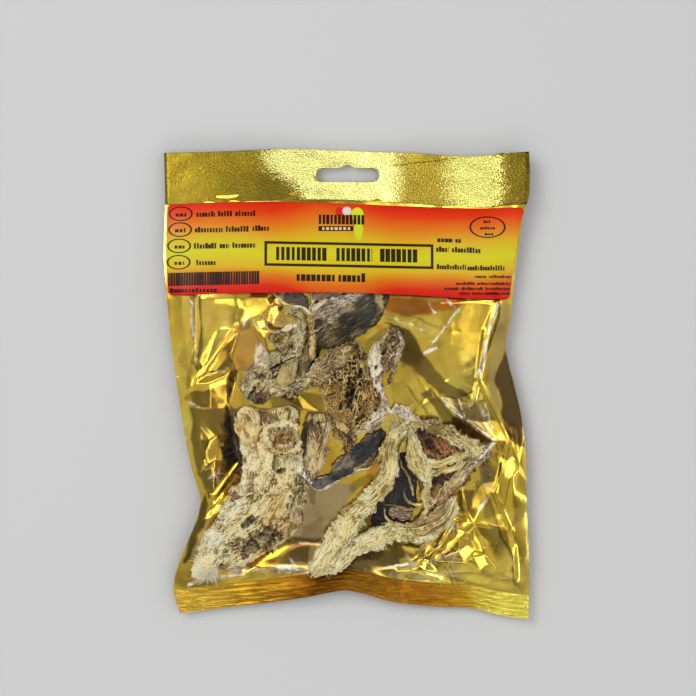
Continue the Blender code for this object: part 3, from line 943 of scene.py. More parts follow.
def relief_of(form, seed, look):
    """How far each place of a strip stands out: lumps, long fibres and furrows, crust, a sponge's
    holes at two sizes, and cracks; returns the sum and the parts that the colour follows."""
    x, y, along, over = form["points"][..., 0], form["points"][..., 1], form["along"], form["over"]
    warp = 2.2 * noise([along / 9, over / 6], seed + 40) + 0.8 * noise([along / 2.4, over / 2.0], seed + 41)
    warp = look.sway * warp
    lump = look.lumps * fractal([along / 13, over / 9], 3, seed)
    grain = fractal([along / (look.fibre_width * 9), (over + warp) / look.fibre_width], 4, seed + 7, 0.6)
    furrows = fractal([along / 26, (over + 1.6 * warp) / 4.2], 3, seed + 19, 0.55)
    torn = ease(-0.25, 0.45, fractal([x / 13, y / 13], 3, seed + 71))
    fibred = look.fibre * (1 - 2.2 * np.abs(grain)) + look.furrow * (0.6 - 2.0 * np.abs(furrows))
    crumb_near, _, _ = cells((along + 0.5 * warp) / 1.5, (over + 0.5 * warp) / 1.1, seed + 15)
    crumbs = fractal([x / 1.5, y / 1.5], 3, seed + 9, 0.75) + 1.1 * (0.45 - crumb_near)
    size = look.pore_size
    near, second, own = cells((along + 1.3 * warp) / (size * 1.5), (over + warp) / size, seed + 11)
    small = cells((along + 0.6 * warp) / (size * 0.55), (over + 0.5 * warp) / (size * 0.4), seed + 13)
    zone = ease(0.65 - look.spongy, 1.15 - look.spongy, 0.5 + 0.5 * fractal([x / 12, y / 12], 3, seed + 17))
    pit = ease(0.05, 0.5, second - near) * (own < 0.6) * zone
    small_pit = ease(0.05, 0.4, small[1] - small[0]) * (small[2] < 0.55) * np.maximum(zone, 0.15)
    split = ease(0.07, 0.0, np.abs(fractal([along / 24, (over + warp) / 4.5], 4, seed + 23, 0.6)))
    split = split * ease(-0.1, 0.4, noise([x / 8, y / 8], seed + 29))
    rise = lump + fibred * (0.22 + 0.78 * torn) + look.crust * (1.3 - 0.6 * torn) * crumbs
    rise = rise - look.pores * pit - 0.5 * look.pores * small_pit - look.crack * 1.6 * split
    return np.where(form["top"], rise, rise * 0.6), lump, pit, small_pit, split


def make_fish(name, form, finish, seed, look):
    """A strip with its relief and hollows, with painted light and shade: places that stand out from those
    around them are painted lighter, sunken ones darker, and hollows, pits, cracks and gaps get painted
    shade.
    """
    points, along, over, cross = form["points"], form["along"], form["over"], form["cross"]
    x, y = points[..., 0], points[..., 1]
    top = np.broadcast_to(form["top"], x.shape)
    normal = normals_of(points)
    if (normal[..., 2] * np.where(top, 1, -1)).mean() < 0:
        normal = -normal
    rise, lump, pit, small_pit, split = relief_of(form, seed, look)
    depth, share = hollow_field(x, y, look.hollows, seed + 31)
    shape = points + normal * rise[..., None]
    shape[..., 2] -= np.where(top, depth * (1 - 0.9 * np.abs(cross) ** 6), 0)
    shape = off_the_foil(shape, np.where(top, TOP_GAP, UNDER_GAP))
    ends = off_the_foil(form["ends"], END_GAP)
    # Painted light and shade from the relief: raised places lighter, sunken ones darker.
    outstanding = np.clip((rise - soften(rise, 7)) / 0.45, -1.5, 1.5)
    broadly = np.clip((rise - soften(rise, 50)) / 0.9, -1.2, 1.2)
    shade = look.tone + 0.24 * outstanding + look.broad * broadly + 0.10 * lump / max(look.lumps, 0.1)
    shade = shade - 0.18 * pit - 0.1 * small_pit
    shade = shade + look.patches * 0.6 * fractal([x / 8, y / 8], 3, seed + 51) + look.lean * cross
    shade = shade + look.rim * ease(0.7, 1.0, np.abs(cross))
    # Painted shade in hollows, pits, cracks and gaps.
    hollow_shade = share * (0.72 + 0.5 * fractal([x / 1.8, y / 1.8], 3, seed + 57, 0.7))
    fine_gap_shade = look.gaps * ease(-0.3, -1.0, outstanding)
    broad_gap_shade = 0.7 * look.gaps * ease(-0.45, -1.1, broadly)
    dark = np.max([hollow_shade, 0.55 * pit, 0.8 * split * look.crack, fine_gap_shade, broad_gap_shade], axis=0)
    _, stain = hollow_field(x, y, look.stains, seed + 33)
    stain = stain * (0.6 + 0.5 * fractal([x / 2.4, y / 2.4], 3, seed + 35, 0.7))
    faces = grid_faces(*x.shape, wrap=True)
    mesh = mesh_from(name, np.vstack([shape.reshape(-1, 3), ends]), faces, closed_at_ends(*x.shape))
    parts = ((dark, 0), (shade, look.tone), (stain, 0))
    paint(mesh, "relief", *(np.append(values.ravel(), (end, end)) for values, end in parts))
    store_uv(mesh, np.append(over.ravel(), (0, 0)) / 100, np.append(along.ravel(), (0, along.max())) / 100)
    outward = bmesh.new()
    outward.from_mesh(mesh)
    bmesh.ops.recalc_face_normals(outward, faces=outward.faces)
    outward.to_mesh(mesh)
    outward.free()
    made = [add_piece(name, mesh, finish, "dried_fish")]
    if look.strands:
        upper = (shape[:, top[0]], normal[:, top[0]])
        strands = (look.tone, look.hollows, seed + 61, *look.strands)
        made.append(add_strands(name + "_fibres", finish, *upper, *strands))
    return made


# ---------------------------------------------------------------- the pouch's surfaces
# Rows and columns of the sheets' grids.
FOIL_GRID, UNDER_GRID, FILM_GRID, SEAL_GRID = (304, 270), (121, 115), (300, 290), (36, 240)
FOLD_SIDE = 12  # the foil's folds have their full height past a twelfth of the way in from a side
FOLD_END = 8  # and past so many mm from the foot seal and the header
RASTER = 0.4  # mm between the places at which facets are worked out
RASTER_X, RASTER_Y = 100, 125  # mm that they reach each way from the middle
STREWN_X, STREWN_Y = 115, 140  # mm each way over which the facets' corners are strewn
LEAN = (0.26, -0.23)  # mm up per mm along x and y of a facet that mirrors the key light
GLINT_RISE, GLINT_FOOT = 1.9, 0.35
PINCH = 0.08  # of a fold's height that its sharp crest adds
PUFF = 15  # mm that air lifts the film by, where nothing holds it
PUFF_SIDE, PUFF_FOOT, PUFF_HEAD = 34, 14, 80  # mm from each seam to where nothing holds it
CREASE_SIDE, CREASE_FOOT, CREASE_HEAD = 9, 7, 14  # mm from each seam to where its creases are full
FILM_GAP, DRAPE_GAP = 0.35, 0.5  # mm from the film to what is under it, at the end and while it drapes
TENT_STEP = 0.42  # mm that the film may fall from one grid cell to the next, before it is creased
LABEL_COLUMNS, LABEL_ROWS, LABEL_LIFT, LABEL_THICKNESS = 220, 56, 0.16, 0.08
HEADER_RINGS, HEADER_ENDS, HEADER_ARCH, HEADER_THICKNESS = 36, 20, 200, 0.5
SEAL_RIBS, SEAL_RIB_HEIGHT, SEAL_TOP, SEAL_THICKNESS = 5, 0.07, 0.65, 0.4


def pouch_grid(rows, columns, low=SEAL_FRACTION, high=HEADER_FRACTION):
    """x and y on a grid over a stretch of the bag, from seam to seam."""
    fraction, column = np.meshgrid(np.linspace(low, high, rows), np.linspace(-1, 1, columns), indexing="ij")
    return place_on_bag(column, fraction)


def grid_place(x, y, rows, columns):
    """Row and column numbers, with fractions, of places on the pouch's grid."""
    column = (across(x, y) + 1) / 2 * (columns - 1)
    fraction = (y - bottom_edge(x)) / (top_edge(x) - bottom_edge(x))
    row = (fraction - SEAL_FRACTION) / (HEADER_FRACTION - SEAL_FRACTION) * (rows - 1)
    return np.clip(row, 0, rows - 1.001), np.clip(column, 0, columns - 1.001)


def sample(grid, row, column):
    """Values between a grid's points, in proportion to the distance to the four nearest."""
    i, j = row.astype(int), column.astype(int)
    a, b = row - i, column - j
    if grid.ndim > 2:
        a, b = a[..., None], b[..., None]
    return (
        grid[i, j] * (1 - a) * (1 - b) + grid[i + 1, j] * a * (1 - b)
        + grid[i, j + 1] * (1 - a) * b + grid[i + 1, j + 1] * a * b
    )


def points_of(piece):
    """A piece's points in millimetres."""
    points = np.empty(len(piece.data.vertices) * 3, np.float32)
    piece.data.vertices.foreach_get("co", points)
    return points.reshape(-1, 3).astype(float) / MM


def highest_over_grid(pieces, rows, columns):
    """Height of the pieces' highest point in each cell of the pouch's grid, and 0 where there is none."""
    tops = np.zeros((rows, columns))
    for piece in pieces:
        x, y, z = points_of(piece).T
        row, column = grid_place(x, y, rows, columns)
        np.maximum.at(tops, (np.round(row).astype(int), np.round(column).astype(int)), z)
    return tops


def spread(grid, steps_out):
    """Each cell takes the highest value among its neighbours, this many times over."""
    for _ in range(steps_out):
        grid = np.max(neighbours(grid), axis=0)
    return grid


def draped(height, obstacle, floor, rounds, swelling):
    """A sheet held at its rim, drawn tight over the obstacle and swelled a little by air.

    Again and again each cell takes the mean of its four neighbours plus the swelling, but
    never less than the obstacle under it.
    """
    for _ in range(rounds):
        mean = (height[:-2, 1:-1] + height[2:, 1:-1] + height[1:-1, :-2] + height[1:-1, 2:]) / 4 + swelling
        height[1:-1, 1:-1] = np.maximum(np.maximum(mean, obstacle[1:-1, 1:-1]), floor[1:-1, 1:-1])
    return height


def resized(grid, rows, columns):
    """The same values on a grid with another number of rows and columns."""
    lines = [np.linspace(0, size - 1.001, wanted) for size, wanted in zip(grid.shape, (rows, columns))]
    return sample(grid, *np.meshgrid(*lines, indexing="ij"))


def facet_field(x, y, spacing, seed, stretch=1.0, folds=(), clear=0.0):
    """Flat facets: heights at places, joined by planes over triangles, whose edges keep to the listed folds.

    The places are those of the folds and, wherever no fold is near, random ones of random
    height: from -1 to 1 without folds, and from 0.35 to 0.7 mm with them.
    """
    across_count, along_count = int(2 * STREWN_X / spacing), int(2 * STREWN_Y / (spacing * stretch))
    i, j = np.meshgrid(np.arange(across_count), np.arange(along_count), indexing="ij")
    px = ((i + 0.9 * random_at((i, j), seed)) * spacing - STREWN_X).ravel()
    py = ((j + 0.9 * random_at((i, j), seed + 1)) * spacing * stretch - STREWN_Y).ravel()
    own = random_at((i, j), seed + 2).ravel()
    pz = 0.35 * own + 0.35 if folds else 2 * own - 1
    edges, listed = [], []
    for fold in folds:
        edges += [(len(listed) + k, len(listed) + k + 1) for k in range(len(fold) - 1)]
        listed += fold
    if listed:
        listed = np.array(listed, float)
        distance = np.hypot(px[:, None] - listed[:, 0], py[:, None] - listed[:, 1]).min(axis=1)
        free = distance > clear
        px, py, pz = (np.concatenate([listed[:, k], p[free]]) for k, p in enumerate((px, py, pz)))
    places = [Vector(place) for place in np.column_stack([px, py]).tolist()]
    corners, _, faces, origins, _, _ = delaunay_2d_cdt(places, edges, [], 0, 1e-6)
    corners = np.array([tuple(corner) for corner in corners])
    heights = np.array([pz[origin].mean() if origin else np.nan for origin in origins])
    for lost in np.nonzero(np.isnan(heights))[0]:  # a place where two folds cross
        nearest = np.argsort(np.hypot(px - corners[lost, 0], py - corners[lost, 1]))[:3]
        heights[lost] = pz[nearest].mean()
    raster = np.zeros((int(2 * RASTER_X / RASTER) + 2, int(2 * RASTER_Y / RASTER) + 2))
    for face in faces:
        (ax, ay), (bx, by), (cx, cy) = (corners[list(face)] + (RASTER_X, RASTER_Y)) / RASTER
        i0, i1 = max(int(min(ax, bx, cx)), 0), min(int(max(ax, bx, cx)) + 2, raster.shape[0])
        j0, j1 = max(int(min(ay, by, cy)), 0), min(int(max(ay, by, cy)) + 2, raster.shape[1])
        area = (bx - ax) * (cy - ay) - (cx - ax) * (by - ay)
        if i0 >= i1 or j0 >= j1 or abs(area) < 1e-9:
            continue
        gx, gy = np.arange(i0, i1)[:, None], np.arange(j0, j1)[None]
        b = ((gx - ax) * (cy - ay) - (cx - ax) * (gy - ay)) / area
        c = ((bx - ax) * (gy - ay) - (gx - ax) * (by - ay)) / area
        inside = (b >= -1e-6) & (c >= -1e-6) & (b + c <= 1 + 1e-6)
        za, zb, zc = heights[list(face)]
        raster[i0:i1, j0:j1][inside] = (za + b * (zb - za) + c * (zc - za))[inside]
    row, column = (x + RASTER_X) / RASTER, (y + RASTER_Y) / RASTER
    return sample(raster, np.clip(row, 0, raster.shape[0] - 2), np.clip(column, 0, raster.shape[1] - 2))


def ridge_field(x, y, ridges):
    """Sharp crested folds: each falls off in a straight slope from its line, and fades towards its ends."""
    height = np.zeros(x.shape)
    for x0, y0, x1, y1, half_width, rise in ridges:
        distance, along = distance_to_line(x, y, x0, y0, x1, y1)
        fade = 0.25 + 0.75 * np.sin(math.pi * along)
        height = height + rise * np.clip(1 - distance / half_width, 0, 1) * fade
    return height


# Folds of the foil that the photo shows: x, y and height along each.
FOIL_FOLDS = [
    [(-78.7, 43.7, 0.7), (-78.1, 31.5, 0.7), (-79.4, 15.7, 0.6), (-81.8, -1.3, 0.6)],
    [(-76.1, 43.7, 0.3), (-74.6, 30.3, 0.2), (-76.1, 12.1, 0.2), (-76.3, 4.8, 0.4)],
    [(-56.9, 44.9, 0.5), (-55.7, 39.4, 0.8), (-56.9, 30.3, 1.1)],
    [(-81.8, -12.2, 0.5), (-70.2, -11.6, 0.4), (-61.1, -10.8, 0.4)],
    [(-81.8, -12.2, 0.5), (-78.7, -29.2, 0.9), (-76.1, -47.5, 1.1), (-72.7, -58.4, 0.9)],
    [(-74.5, -58.4, 1.1), (-78.1, -73, 0.7), (-84.2, -88.2, 0.8)],
    [(-35.6, 46.1, 0.6), (-32.1, 41.2, 0.4), (-37.4, 30.3, 0.3)],
    [(19.1, 35.2, 0.6), (31.8, 33.4, 0.8), (40.9, 25.5, 0.8), (46.4, 13.3, 0.9), (53.7, 3.6, 0.8),
        (65.9, -3.7, 0.7)],
    [(22.1, 30.3, 0.2), (30.6, 22.8, 0.2), (40.3, 10.6, 0.4), (44.2, -2.5, 0.2), (47.6, -6.8, 1.1)],
    [(47.6, -6.8, 1.1), (61, -17.7, 1.4), (76.2, -29.2, 1.6)],
    [(76.2, -29.2, 1.6), (67.1, -39, 1), (58.6, -48.7, 1.1)],
    [(67.1, -9.8, 0.9), (71, -19.5, 0.5), (76.2, -29.2, 1.6)], [(84.1, -29.2, 1.9), (80.4, -35.3, 1.3)],
    [(82.9, -75.4, 1.1), (86.8, -96.1, 1.3)], [(80.7, 14.5, 0.2), (84.1, -2.5, 0.4), (87.7, -19.5, 0.5)],
    [(58.6, -48.7, 1.1), (62.5, -66.9, 0.4), (72.2, -58.4, 1.1)], [(65.9, -73, 0.5), (79.2, -97.3, 1.1)],
    [(25.8, -96.7, 0.8), (40.3, -88.5, 1.3), (52.5, -101.7, 0.8)],
    [(-25.3, -4.9, 0.4), (-22.8, -12.8, 1.1), (-13.1, -14.7, 0.4)],
    [(-55.4, 27.2, 0.4), (-48.1, 29.1, 0.4), (-45.7, 21.8, 0.4), (-48.4, 8.4, 0.5), (-56.4, 7.2, 0.5),
        (-55.4, 27.2, 0.4)],
    [(47.6, 41.2, 0.9), (63.4, 42.2, 0.9), (75.1, 41.2, 0.9), (71.9, 20.6, 0.4), (53.7, 20.6, 0.4),
        (47.6, 41.2, 0.9)],
    [(67.1, -36.5, 0.7), (78, -35.3, 0.7), (79.2, -51.1, 0.6), (68.3, -52.3, 0.6), (67.1, -36.5, 0.7)],
    [(87.7, -81.5, 0.5), (93.3, -80.3, 0.4), (93.8, -100.9, 0.4), (88.9, -102.1, 0.5), (87.7, -81.5, 0.5)],
    [(-67, -57.7, 0.4), (-55.4, -41.4, 0.6), (-54, -47.5, 0.6), (-59.1, -54.8, 0.5), (-63.7, -60.6, 0.4),
        (-67, -57.7, 0.4)],
    [(-18, -57.2, 0.4), (-1, -53.5, 0.4), (2.7, -58.4, 0.4), (-4.6, -71.8, 0.4), (-13.1, -82.7, 0.4),
        (-21.6, -79.1, 0.4), (-22.8, -65.7, 0.4), (-18, -57.2, 0.4)],
]
# Flat facets of the foil that lean towards the key light: their corners.
FOIL_GLINTS = [
    [(-53, 43.7), (-41.8, 44.4), (-39.4, 40.5), (-43.3, 35.9), (-41.8, 30.3), (-45.7, 28.4),
        (-48.9, 34.2), (-52.3, 38.3)],
    [(-79.2, -0.6), (-75.1, 4.3), (-67.1, 6.5), (-60.5, 6.6), (-61.7, 4.1), (-70.7, 0.4)],
    [(-46.9, 32), (-40.8, 32.5), (-39.4, 27.2), (-42.5, 23.5)],
    [(-75.8, 4.5), (-73.4, 8.4), (-57.4, 29.6), (-58.1, 26.4), (-72.2, 6)],
    [(82.6, -39.2), (85.3, -36.5), (88.7, -39.7), (88.7, -44.3), (84.1, -48.7), (81.4, -47.5)],
    [(51, -79.1), (55.4, -74.7), (58.1, -79.8), (54, -84.6)],
    [(58.1, -86.6), (62.7, -83.2), (66.1, -85.9), (61, -91.9)],
    [(55.7, -67.4), (61.7, -66.7), (65.9, -71.8), (62.5, -76.6), (57.6, -74.4)],
    [(65.9, -89.5), (71.2, -88), (73.2, -92.9), (68.5, -96.1)],
    [(29.4, -94.4), (36.2, -88.3), (39.1, -90), (33.1, -96.8)],
    [(37.9, -94.4), (42.8, -88.8), (45.2, -91.2), (40.8, -96.8)],
    [(-68.4, -55.7), (-56.5, -39.7), (-55.4, -41.1), (-67.1, -57.4)],
    [(-67.3, -61.8), (-63.9, -61.1), (-62, -65), (-64.9, -66.2)],
    [(-72.2, -35.3), (-70.2, -29.2), (-67.1, -26.8), (-65.6, -30.4), (-67.1, -38.5), (-71, -40.9)],
    [(-53.2, -95.6), (-49.6, -92.4), (-46.4, -93.2), (-50.1, -96.1)],
    [(-18.5, 9.9), (-16.5, 12.6), (-14.8, 10.9), (-17, 7.5)],
    [(56.9, -69.1), (61, -67.6), (64.2, -71.8), (60.5, -74.4), (57.4, -73)],
]
# Rounded folds of the foil: two ends, half width and height.
FOIL_TUBES = [
    (78.2, 43, 71.9, 27.9, 2, 0.8), (71.9, 27.9, 68.3, 3, 2.4, 1), (68.3, 3, 84.1, -28.6, 1.5, 0.8),
    (84.1, -29.2, 76.8, -56, 1.6, 0.7), (76.8, -56, 85, -75, 1.6, 0.6), (68.3, 3, 65.6, -11.4, 1.5, 0.6),
    (-56.9, 30.3, -75.1, 4.2, 1.3, 0.5), (34.3, 9, 43.6, -7.2, 1.3, 0.6),
    (-55.7, -41.4, -68.4, -58.4, 1.6, 0.6), (59.2, -62.8, 43, -91, 1.6, 0.5),
]
# Folds of the front film: two ends, half width and height.
FILM_FOLDS = [
    (46.4, -6.8, 75.6, -29.2, 5, 1.6), (75.6, -29.2, 58.6, -48.7, 4, 1.6), (58.6, -48.7, 57, -64, 4, 1),
    (43, 37, 34, 21, 4, 1.2), (58, 40, 40, 17, 3.5, 1.2), (-52, 43, -74, 5, 4, 0.8),
    (-76, -46, -64, -54, 4, 1), (-81, -92, -62, -100, 5, 1.4), (-34, -98, 6, -99, 4, 1),
    (66, -60, 84, -98, 4, 1.4), (-16, -98, -30, -82, 5, 0.9), (70, 36, 72, 8, 4, 1.4),
    (14, -96, 34, -88, 4, 1),
]
# Painted sheen along the film's creases and slack, where it mirrors far more: two ends, strength and
# half width.
FILM_CREASE_SHEENS = [
    (47, -6.1, 61, -17.7, 1, 1.08), (61, -17.7, 76.2, -29.2, 0.9, 0.95), (76.2, -29.2, 67.1, -39, 0.9, 1.08),
    (67.1, -39, 58.6, -48.7, 0.9, 1.08), (44, 20.6, 51.3, 30.3, 0.9, 1.08),
    (51.3, 30.3, 58.6, 40, 0.7, 0.95), (39.1, 15.7, 47, 18.8, 0.9, 1.22),
    (41.6, 42.5, 46.4, 36.4, 0.6, 0.95), (50, 44, 58, 37, 0.5, 0.95), (68.3, 3.6, 71.9, 24.2, 0.8, 1.62),
    (71.9, 24.2, 78, 42.5, 0.7, 1.08), (65.9, -66.9, 73.2, -57.2, 0.6, 1.08), (66, -6, 71, -17, 0.4, 0.95),
    (70, -8, 75.6, -28, 0.5, 0.95), (56, -12, 60, -9, 0.4, 0.95), (-83.6, -103.4, -48.4, -96, 0.5, 1.35),
    (-48.4, -96, -20.4, -97.2, 0.25, 0.9), (-20.4, -97.2, 6.3, -98.4, 0.28, 0.9),
    (6.3, -98.4, 30.6, -98.6, 0.42, 1.35), (30.6, -98.6, 58, -98, 0.42, 1.22),
    (-29, -88.8, -22.8, -97.3, 0.3, 0.8), (-25.5, -41.5, -17.2, -51, 0.7, 0.95),
    (-62, -96.5, -30, -94.5, 0.13, 4.05), (-30, -95, -14, -96, 0.1, 2.97), (8, -96, 30, -96.5, 0.2, 2.16),
    (-36, -93.6, -18, -95.4, 0.8, 0.95), (20, -93.6, 34, -91.6, 0.7, 0.95), (30, -86, 36, -95, 0.6, 0.95),
    (-71.4, -48.7, -64.2, -43.8, 0.6, 0.95), (-73, -44, -68, -42, 0.5, 0.95),
    (-79.9, 44, -78, 20, 0.35, 1.22), (24, 34, 40, 27, 0.3, 0.95), (-80, -90, -66, -60, 0.3, 1.22),
    (40, -92, 62, -84, 0.5, 0.95), (-78, 36, -77, 10, 0.25, 0.95), (-53, 30, -50, 38, 0.5, 0.95),
    (-82, -9, -74, -11.8, 0.5, 0.95), (-68, 6.6, -61, 7, 0.4, 0.95),
]
# Painted reflections and shade on the foil, laid into its colour: dark for shade and for dark things it
# mirrors, orange and tan for warm things it mirrors, such as the label and the fish.  Strokes: two ends,
# half width and strength.
SHADE_AND_DARK_REFLECTION_STROKES = [
    (-79, 43.7, -78.3, 30.3, 1.7, 0.6), (-78.3, 30.3, -77.3, 20.6, 1.7, 0.6),
    (-76.3, 43.7, -75.6, 26.7, 1.5, 0.75), (-75.6, 26.7, -76.6, 8.4, 1.5, 0.75),
    (-77.3, 20.6, -79.2, 9.7, 1.2, 0.5), (-79.2, 9.7, -81.2, -0.1, 1.2, 0.5),
    (-81.2, -6.1, -60.5, -3.1, 1.7, 0.5), (79.7, 43.7, 77.9, 36.4, 0.6, 0.9),
    (77.9, 36.4, 74.2, 23, 0.6, 0.9), (74.2, 23, 70, 6.6, 0.6, 0.9), (68.5, -9.8, 67.1, 2.4, 0.6, 0.4),
    (68.3, -52.3, 76.8, -73, 2.7, 0.45), (71.9, -56, 84.1, -85.1, 0.7, 0.7),
    (84.1, -85.1, 86.8, -103.4, 0.6, 0.7), (-36.2, -6.8, -22.8, -8.6, 3.2, 0.45),
    (-15.6, -12.2, -5.8, -19.5, 1.9, 0.4), (11.2, -48.7, 3.9, -53.5, 2.7, 0.5),
    (45.2, -83.9, 50.1, -79.1, 1.5, 0.6), (-16.8, -52.3, -18, -60.8, 1.5, 0.5),
    (31.8, -1.3, 37.9, -9.8, 0.5, 0.6), (39.1, -9.8, 41.6, -15.9, 0.6, 0.5),
    (28.2, 36.4, 44, 30.3, 0.4, 0.5), (44, 30.3, 59.8, 27.9, 0.4, 0.4), (24.5, 26.7, 30.6, 9.7, 1, 0.5),
    (46.4, -73, 57.4, -64.5, 0.7, 0.4), (-76.3, 23, -83.6, 12.1, 3.2, 0.2),
]
ORANGE_REFLECTION_STROKES = [
    (-37.4, 41.2, -32.6, 30.3, 2.7, 0.5), (-38.6, 37.6, -42.3, 24.2, 1.7, 0.4),
    (-10.7, -29.2, -5.8, -41.4, 2.2, 0.35), (12.4, -46.2, 14.8, -41.4, 2.2, 0.7),
    (-58.1, -91.2, -37.4, -93, 1.9, 0.4), (-18, -82.7, -30.1, -85.1, 2.2, 0.3),
    (41.6, -85.1, 51.3, -91.2, 1.9, 0.3), (16, 30.3, 19.1, 26.7, 1.7, 0.5),
]
TAN_REFLECTION_STROKES = [
    (-27.7, -85.1, -13.1, -87.6, 3.2, 0.6), (-13.1, -87.6, -22.8, -91.2, 3.2, 0.6),
    (-5.8, -91.2, 18.5, -91.2, 2.4, 0.6), (13.6, -88.8, 25.8, -90, 2.4, 0.7),
    (67.1, -35.3, 73.2, -46.2, 3.4, 0.6), (-66.6, -91.2, -54.4, -92.4, 1.7, 0.4),
    (48.8, -88.8, 58.6, -90, 1.7, 0.6), (81.7, 38.8, 80.4, 21.8, 1.7, 0.5),
    (75.6, 8.4, 75.6, -7.4, 1.7, 0.5),
]
# The larger patches of painted reflection and shade: strength and outline.
SHADE_AND_DARK_REFLECTION_PATCHES = [
    (0.8, [(-80.7, -12), (-70.7, -11.2), (-61.5, -10.8), (-59.1, -14.7), (-57.8, -26.8), (-55.9, -36.5),
        (-54.2, -41.9), (-60.5, -48.7), (-65.9, -55.7), (-70.5, -58.4), (-73.2, -53.5), (-76.1, -46.2),
        (-78.3, -35.3), (-79.7, -23.2)]),
    (0.9, [(-65.9, -19.5), (-59.1, -17.1), (-57.8, -29.2), (-54.9, -40.2), (-61.7, -47.5), (-65.1, -39)]),
    (0.92, [(-72.7, -55.7), (-70.7, -60.8), (-71.7, -68.1), (-76.6, -79.1), (-82.9, -92.4),
        (-84.8, -91.2), (-80.7, -79.1), (-74.9, -64.5)]),
    (0.97, [(19.2, 32), (26.2, 31.3), (32.1, 28.1), (38.2, 21.2), (41.6, 14.3), (37.9, 8.4), (32.8, 9.7),
        (28.8, 12.1), (26.5, 14.5), (28.7, 22.4), (24.5, 28.4)]),
    (0.8, [(38.2, 21.2), (41.8, 14.3), (46.7, 6.6), (52.7, 1.8), (61.2, -3.1), (65.9, -8.6), (58.6, -8.6),
        (48.8, -4.9), (42, 0.4), (36.7, 7), (34.3, 12.1)]),
    (0.8, [(44, -2.5), (48.8, -8.6), (61, -19.5), (75.8, -30.2), (67.1, -30.4), (57.4, -24.4),
        (48.8, -17.1), (42.8, -9.8), (39.1, -4.9)]),
    (0.5, [(47.6, -4.9), (65.9, -8.6), (70.7, -15.9), (75.8, -28.7), (62.2, -17.7)]),
    (1, [(82.1, 16.7), (77.5, 8.4), (76.3, 1.9), (79.2, -6.1), (79.7, -14.7), (82.9, -23.2),
        (85.3, -29.2), (92.4, -32.6), (90.4, -17.1), (87.5, -3.7), (84.6, 8.4)]),
    (0.4, [(65.9, -30.4), (75.8, -30.7), (70.7, -41.4), (67.1, -39), (61, -47.5), (59.1, -46.2)]),
    (0.5, [(67.8, -53.1), (71.7, -56), (78.7, -73), (74.4, -74.2), (69.3, -63.3)]),
    (0.45, [(85.5, -31.7), (91.9, -36.5), (92.8, -60.8), (93.3, -85.1), (90.2, -92.4), (86, -75.4),
        (85.3, -56), (90.2, -46.2)]),
    (0.8, [(22.1, -81.5), (34.3, -82.7), (40.3, -86.3), (35.5, -88.8), (28.2, -90), (22.1, -86.3)]),
    (0.82, [(-42.3, -91.2), (-30.1, -85.1), (-18, -82.7), (-19.2, -91.2), (-30.1, -93)]),
    (0.72, [(-1, -87.6), (25.8, -85.7), (29.4, -92.4), (13.6, -95.5), (-5.8, -95.5)]),
    (0.22, [(-75.1, 23), (-59.1, 24.7), (-73.9, 6.3), (-77.5, 8.4)]),
    (0.85, [(-80, -3.5), (-61, -0.1), (-60.3, -11), (-78.7, -11.7)]),
    (0.62, [(-56.4, 27.9), (-55.7, 19.4), (-60.5, 8.4), (-71, 5.8), (-65.9, 13.3), (-59.1, 22.5)]),
    (0.9, [(3.9, -77.1), (6.3, -68.4), (11.2, -60.8), (16.5, -58.4), (18.5, -68.4), (13.6, -74.7)]),
    (0.8, [(56.9, -54.8), (65.9, -54.8), (64.2, -66.2), (58.6, -65.7)]),
    (0.25, [(65.9, 41.2), (74.4, 41.2), (71.9, 26.7), (63.4, 26.7)]),
    (0.22, [(-60.5, 8.4), (-52, 8.4), (-53.2, -1.3), (-60.5, -0.1)]),
    (0.6, [(-39.9, -4.9), (-25.3, -3.7), (-10.7, -6.1), (-10.7, -14.7), (-22.8, -13.2), (-38.6, -12.2)]),
    (0.3, [(-22.8, -73), (-13.1, -68.1), (-11.9, -80.3), (-19.2, -85.1), (-25.3, -82.7)]),
    (0.25, [(23.1, -0.6), (30.6, 2.4), (34.3, -8.6), (31.8, -14.7), (23.3, -9.8)]),
]
ORANGE_REFLECTION_PATCHES = [
    (0.95, [(19.4, 44.4), (59.8, 43.2), (58.1, 39.1), (47.6, 37.4), (42.8, 35.4), (35.5, 35.7),
        (27.7, 37.1), (20.9, 38.3)]),
    (0.35, [(-42.3, 37.6), (-33.8, 41.2), (-30.1, 37.6), (-36.2, 24.2), (-42.3, 19.4), (-43.5, 26.7)]),
    (0.45, [(-64.2, 24.2), (-56.1, 30.3), (-48.1, 30.8), (-42.8, 20.6), (-48.1, 8), (-58.1, 6.7),
        (-65.9, 12.1)]),
]
TAN_REFLECTION_PATCHES = [
    (0.85, [(-25.3, -56), (-13.1, -52.6), (-1, -51.8), (5.1, -53.5), (0.2, -64.5), (-5.8, -73),
        (-11.9, -82.7), (-19.2, -86.3), (-27.7, -82.7), (-25.3, -70.5)]),
    (0.75, [(47.6, -5.7), (67.1, -8.6), (71.2, -17.1), (75.1, -28), (61, -17.7)]),
    (0.65, [(63.4, -30.4), (75.6, -30.4), (75.8, -35.3), (73.2, -43.8), (76.3, -54.8), (70.7, -53.5),
        (67.1, -41.4), (59.8, -48.7), (58.8, -45)]),
    (0.5, [(-30.1, -82.7), (-18, -83.9), (-19.2, -87.6), (-27.7, -86.3)]),
    (0.55, [(-42.3, -97.3), (-27.7, -88.8), (25.8, -90), (24.5, -96.1), (-5.8, -96.8)]),
    (0.45, [(76.8, 41.2), (84.1, 41.2), (82.1, 16.9), (77.3, 8.4), (73.4, 2.4), (71.5, 8.4), (76.3, 24.2)]),
    (0.45, [(72.9, 1.1), (77.5, 2.4), (79.2, -8.6), (79.2, -15.9), (76.3, -14.7)]),
]


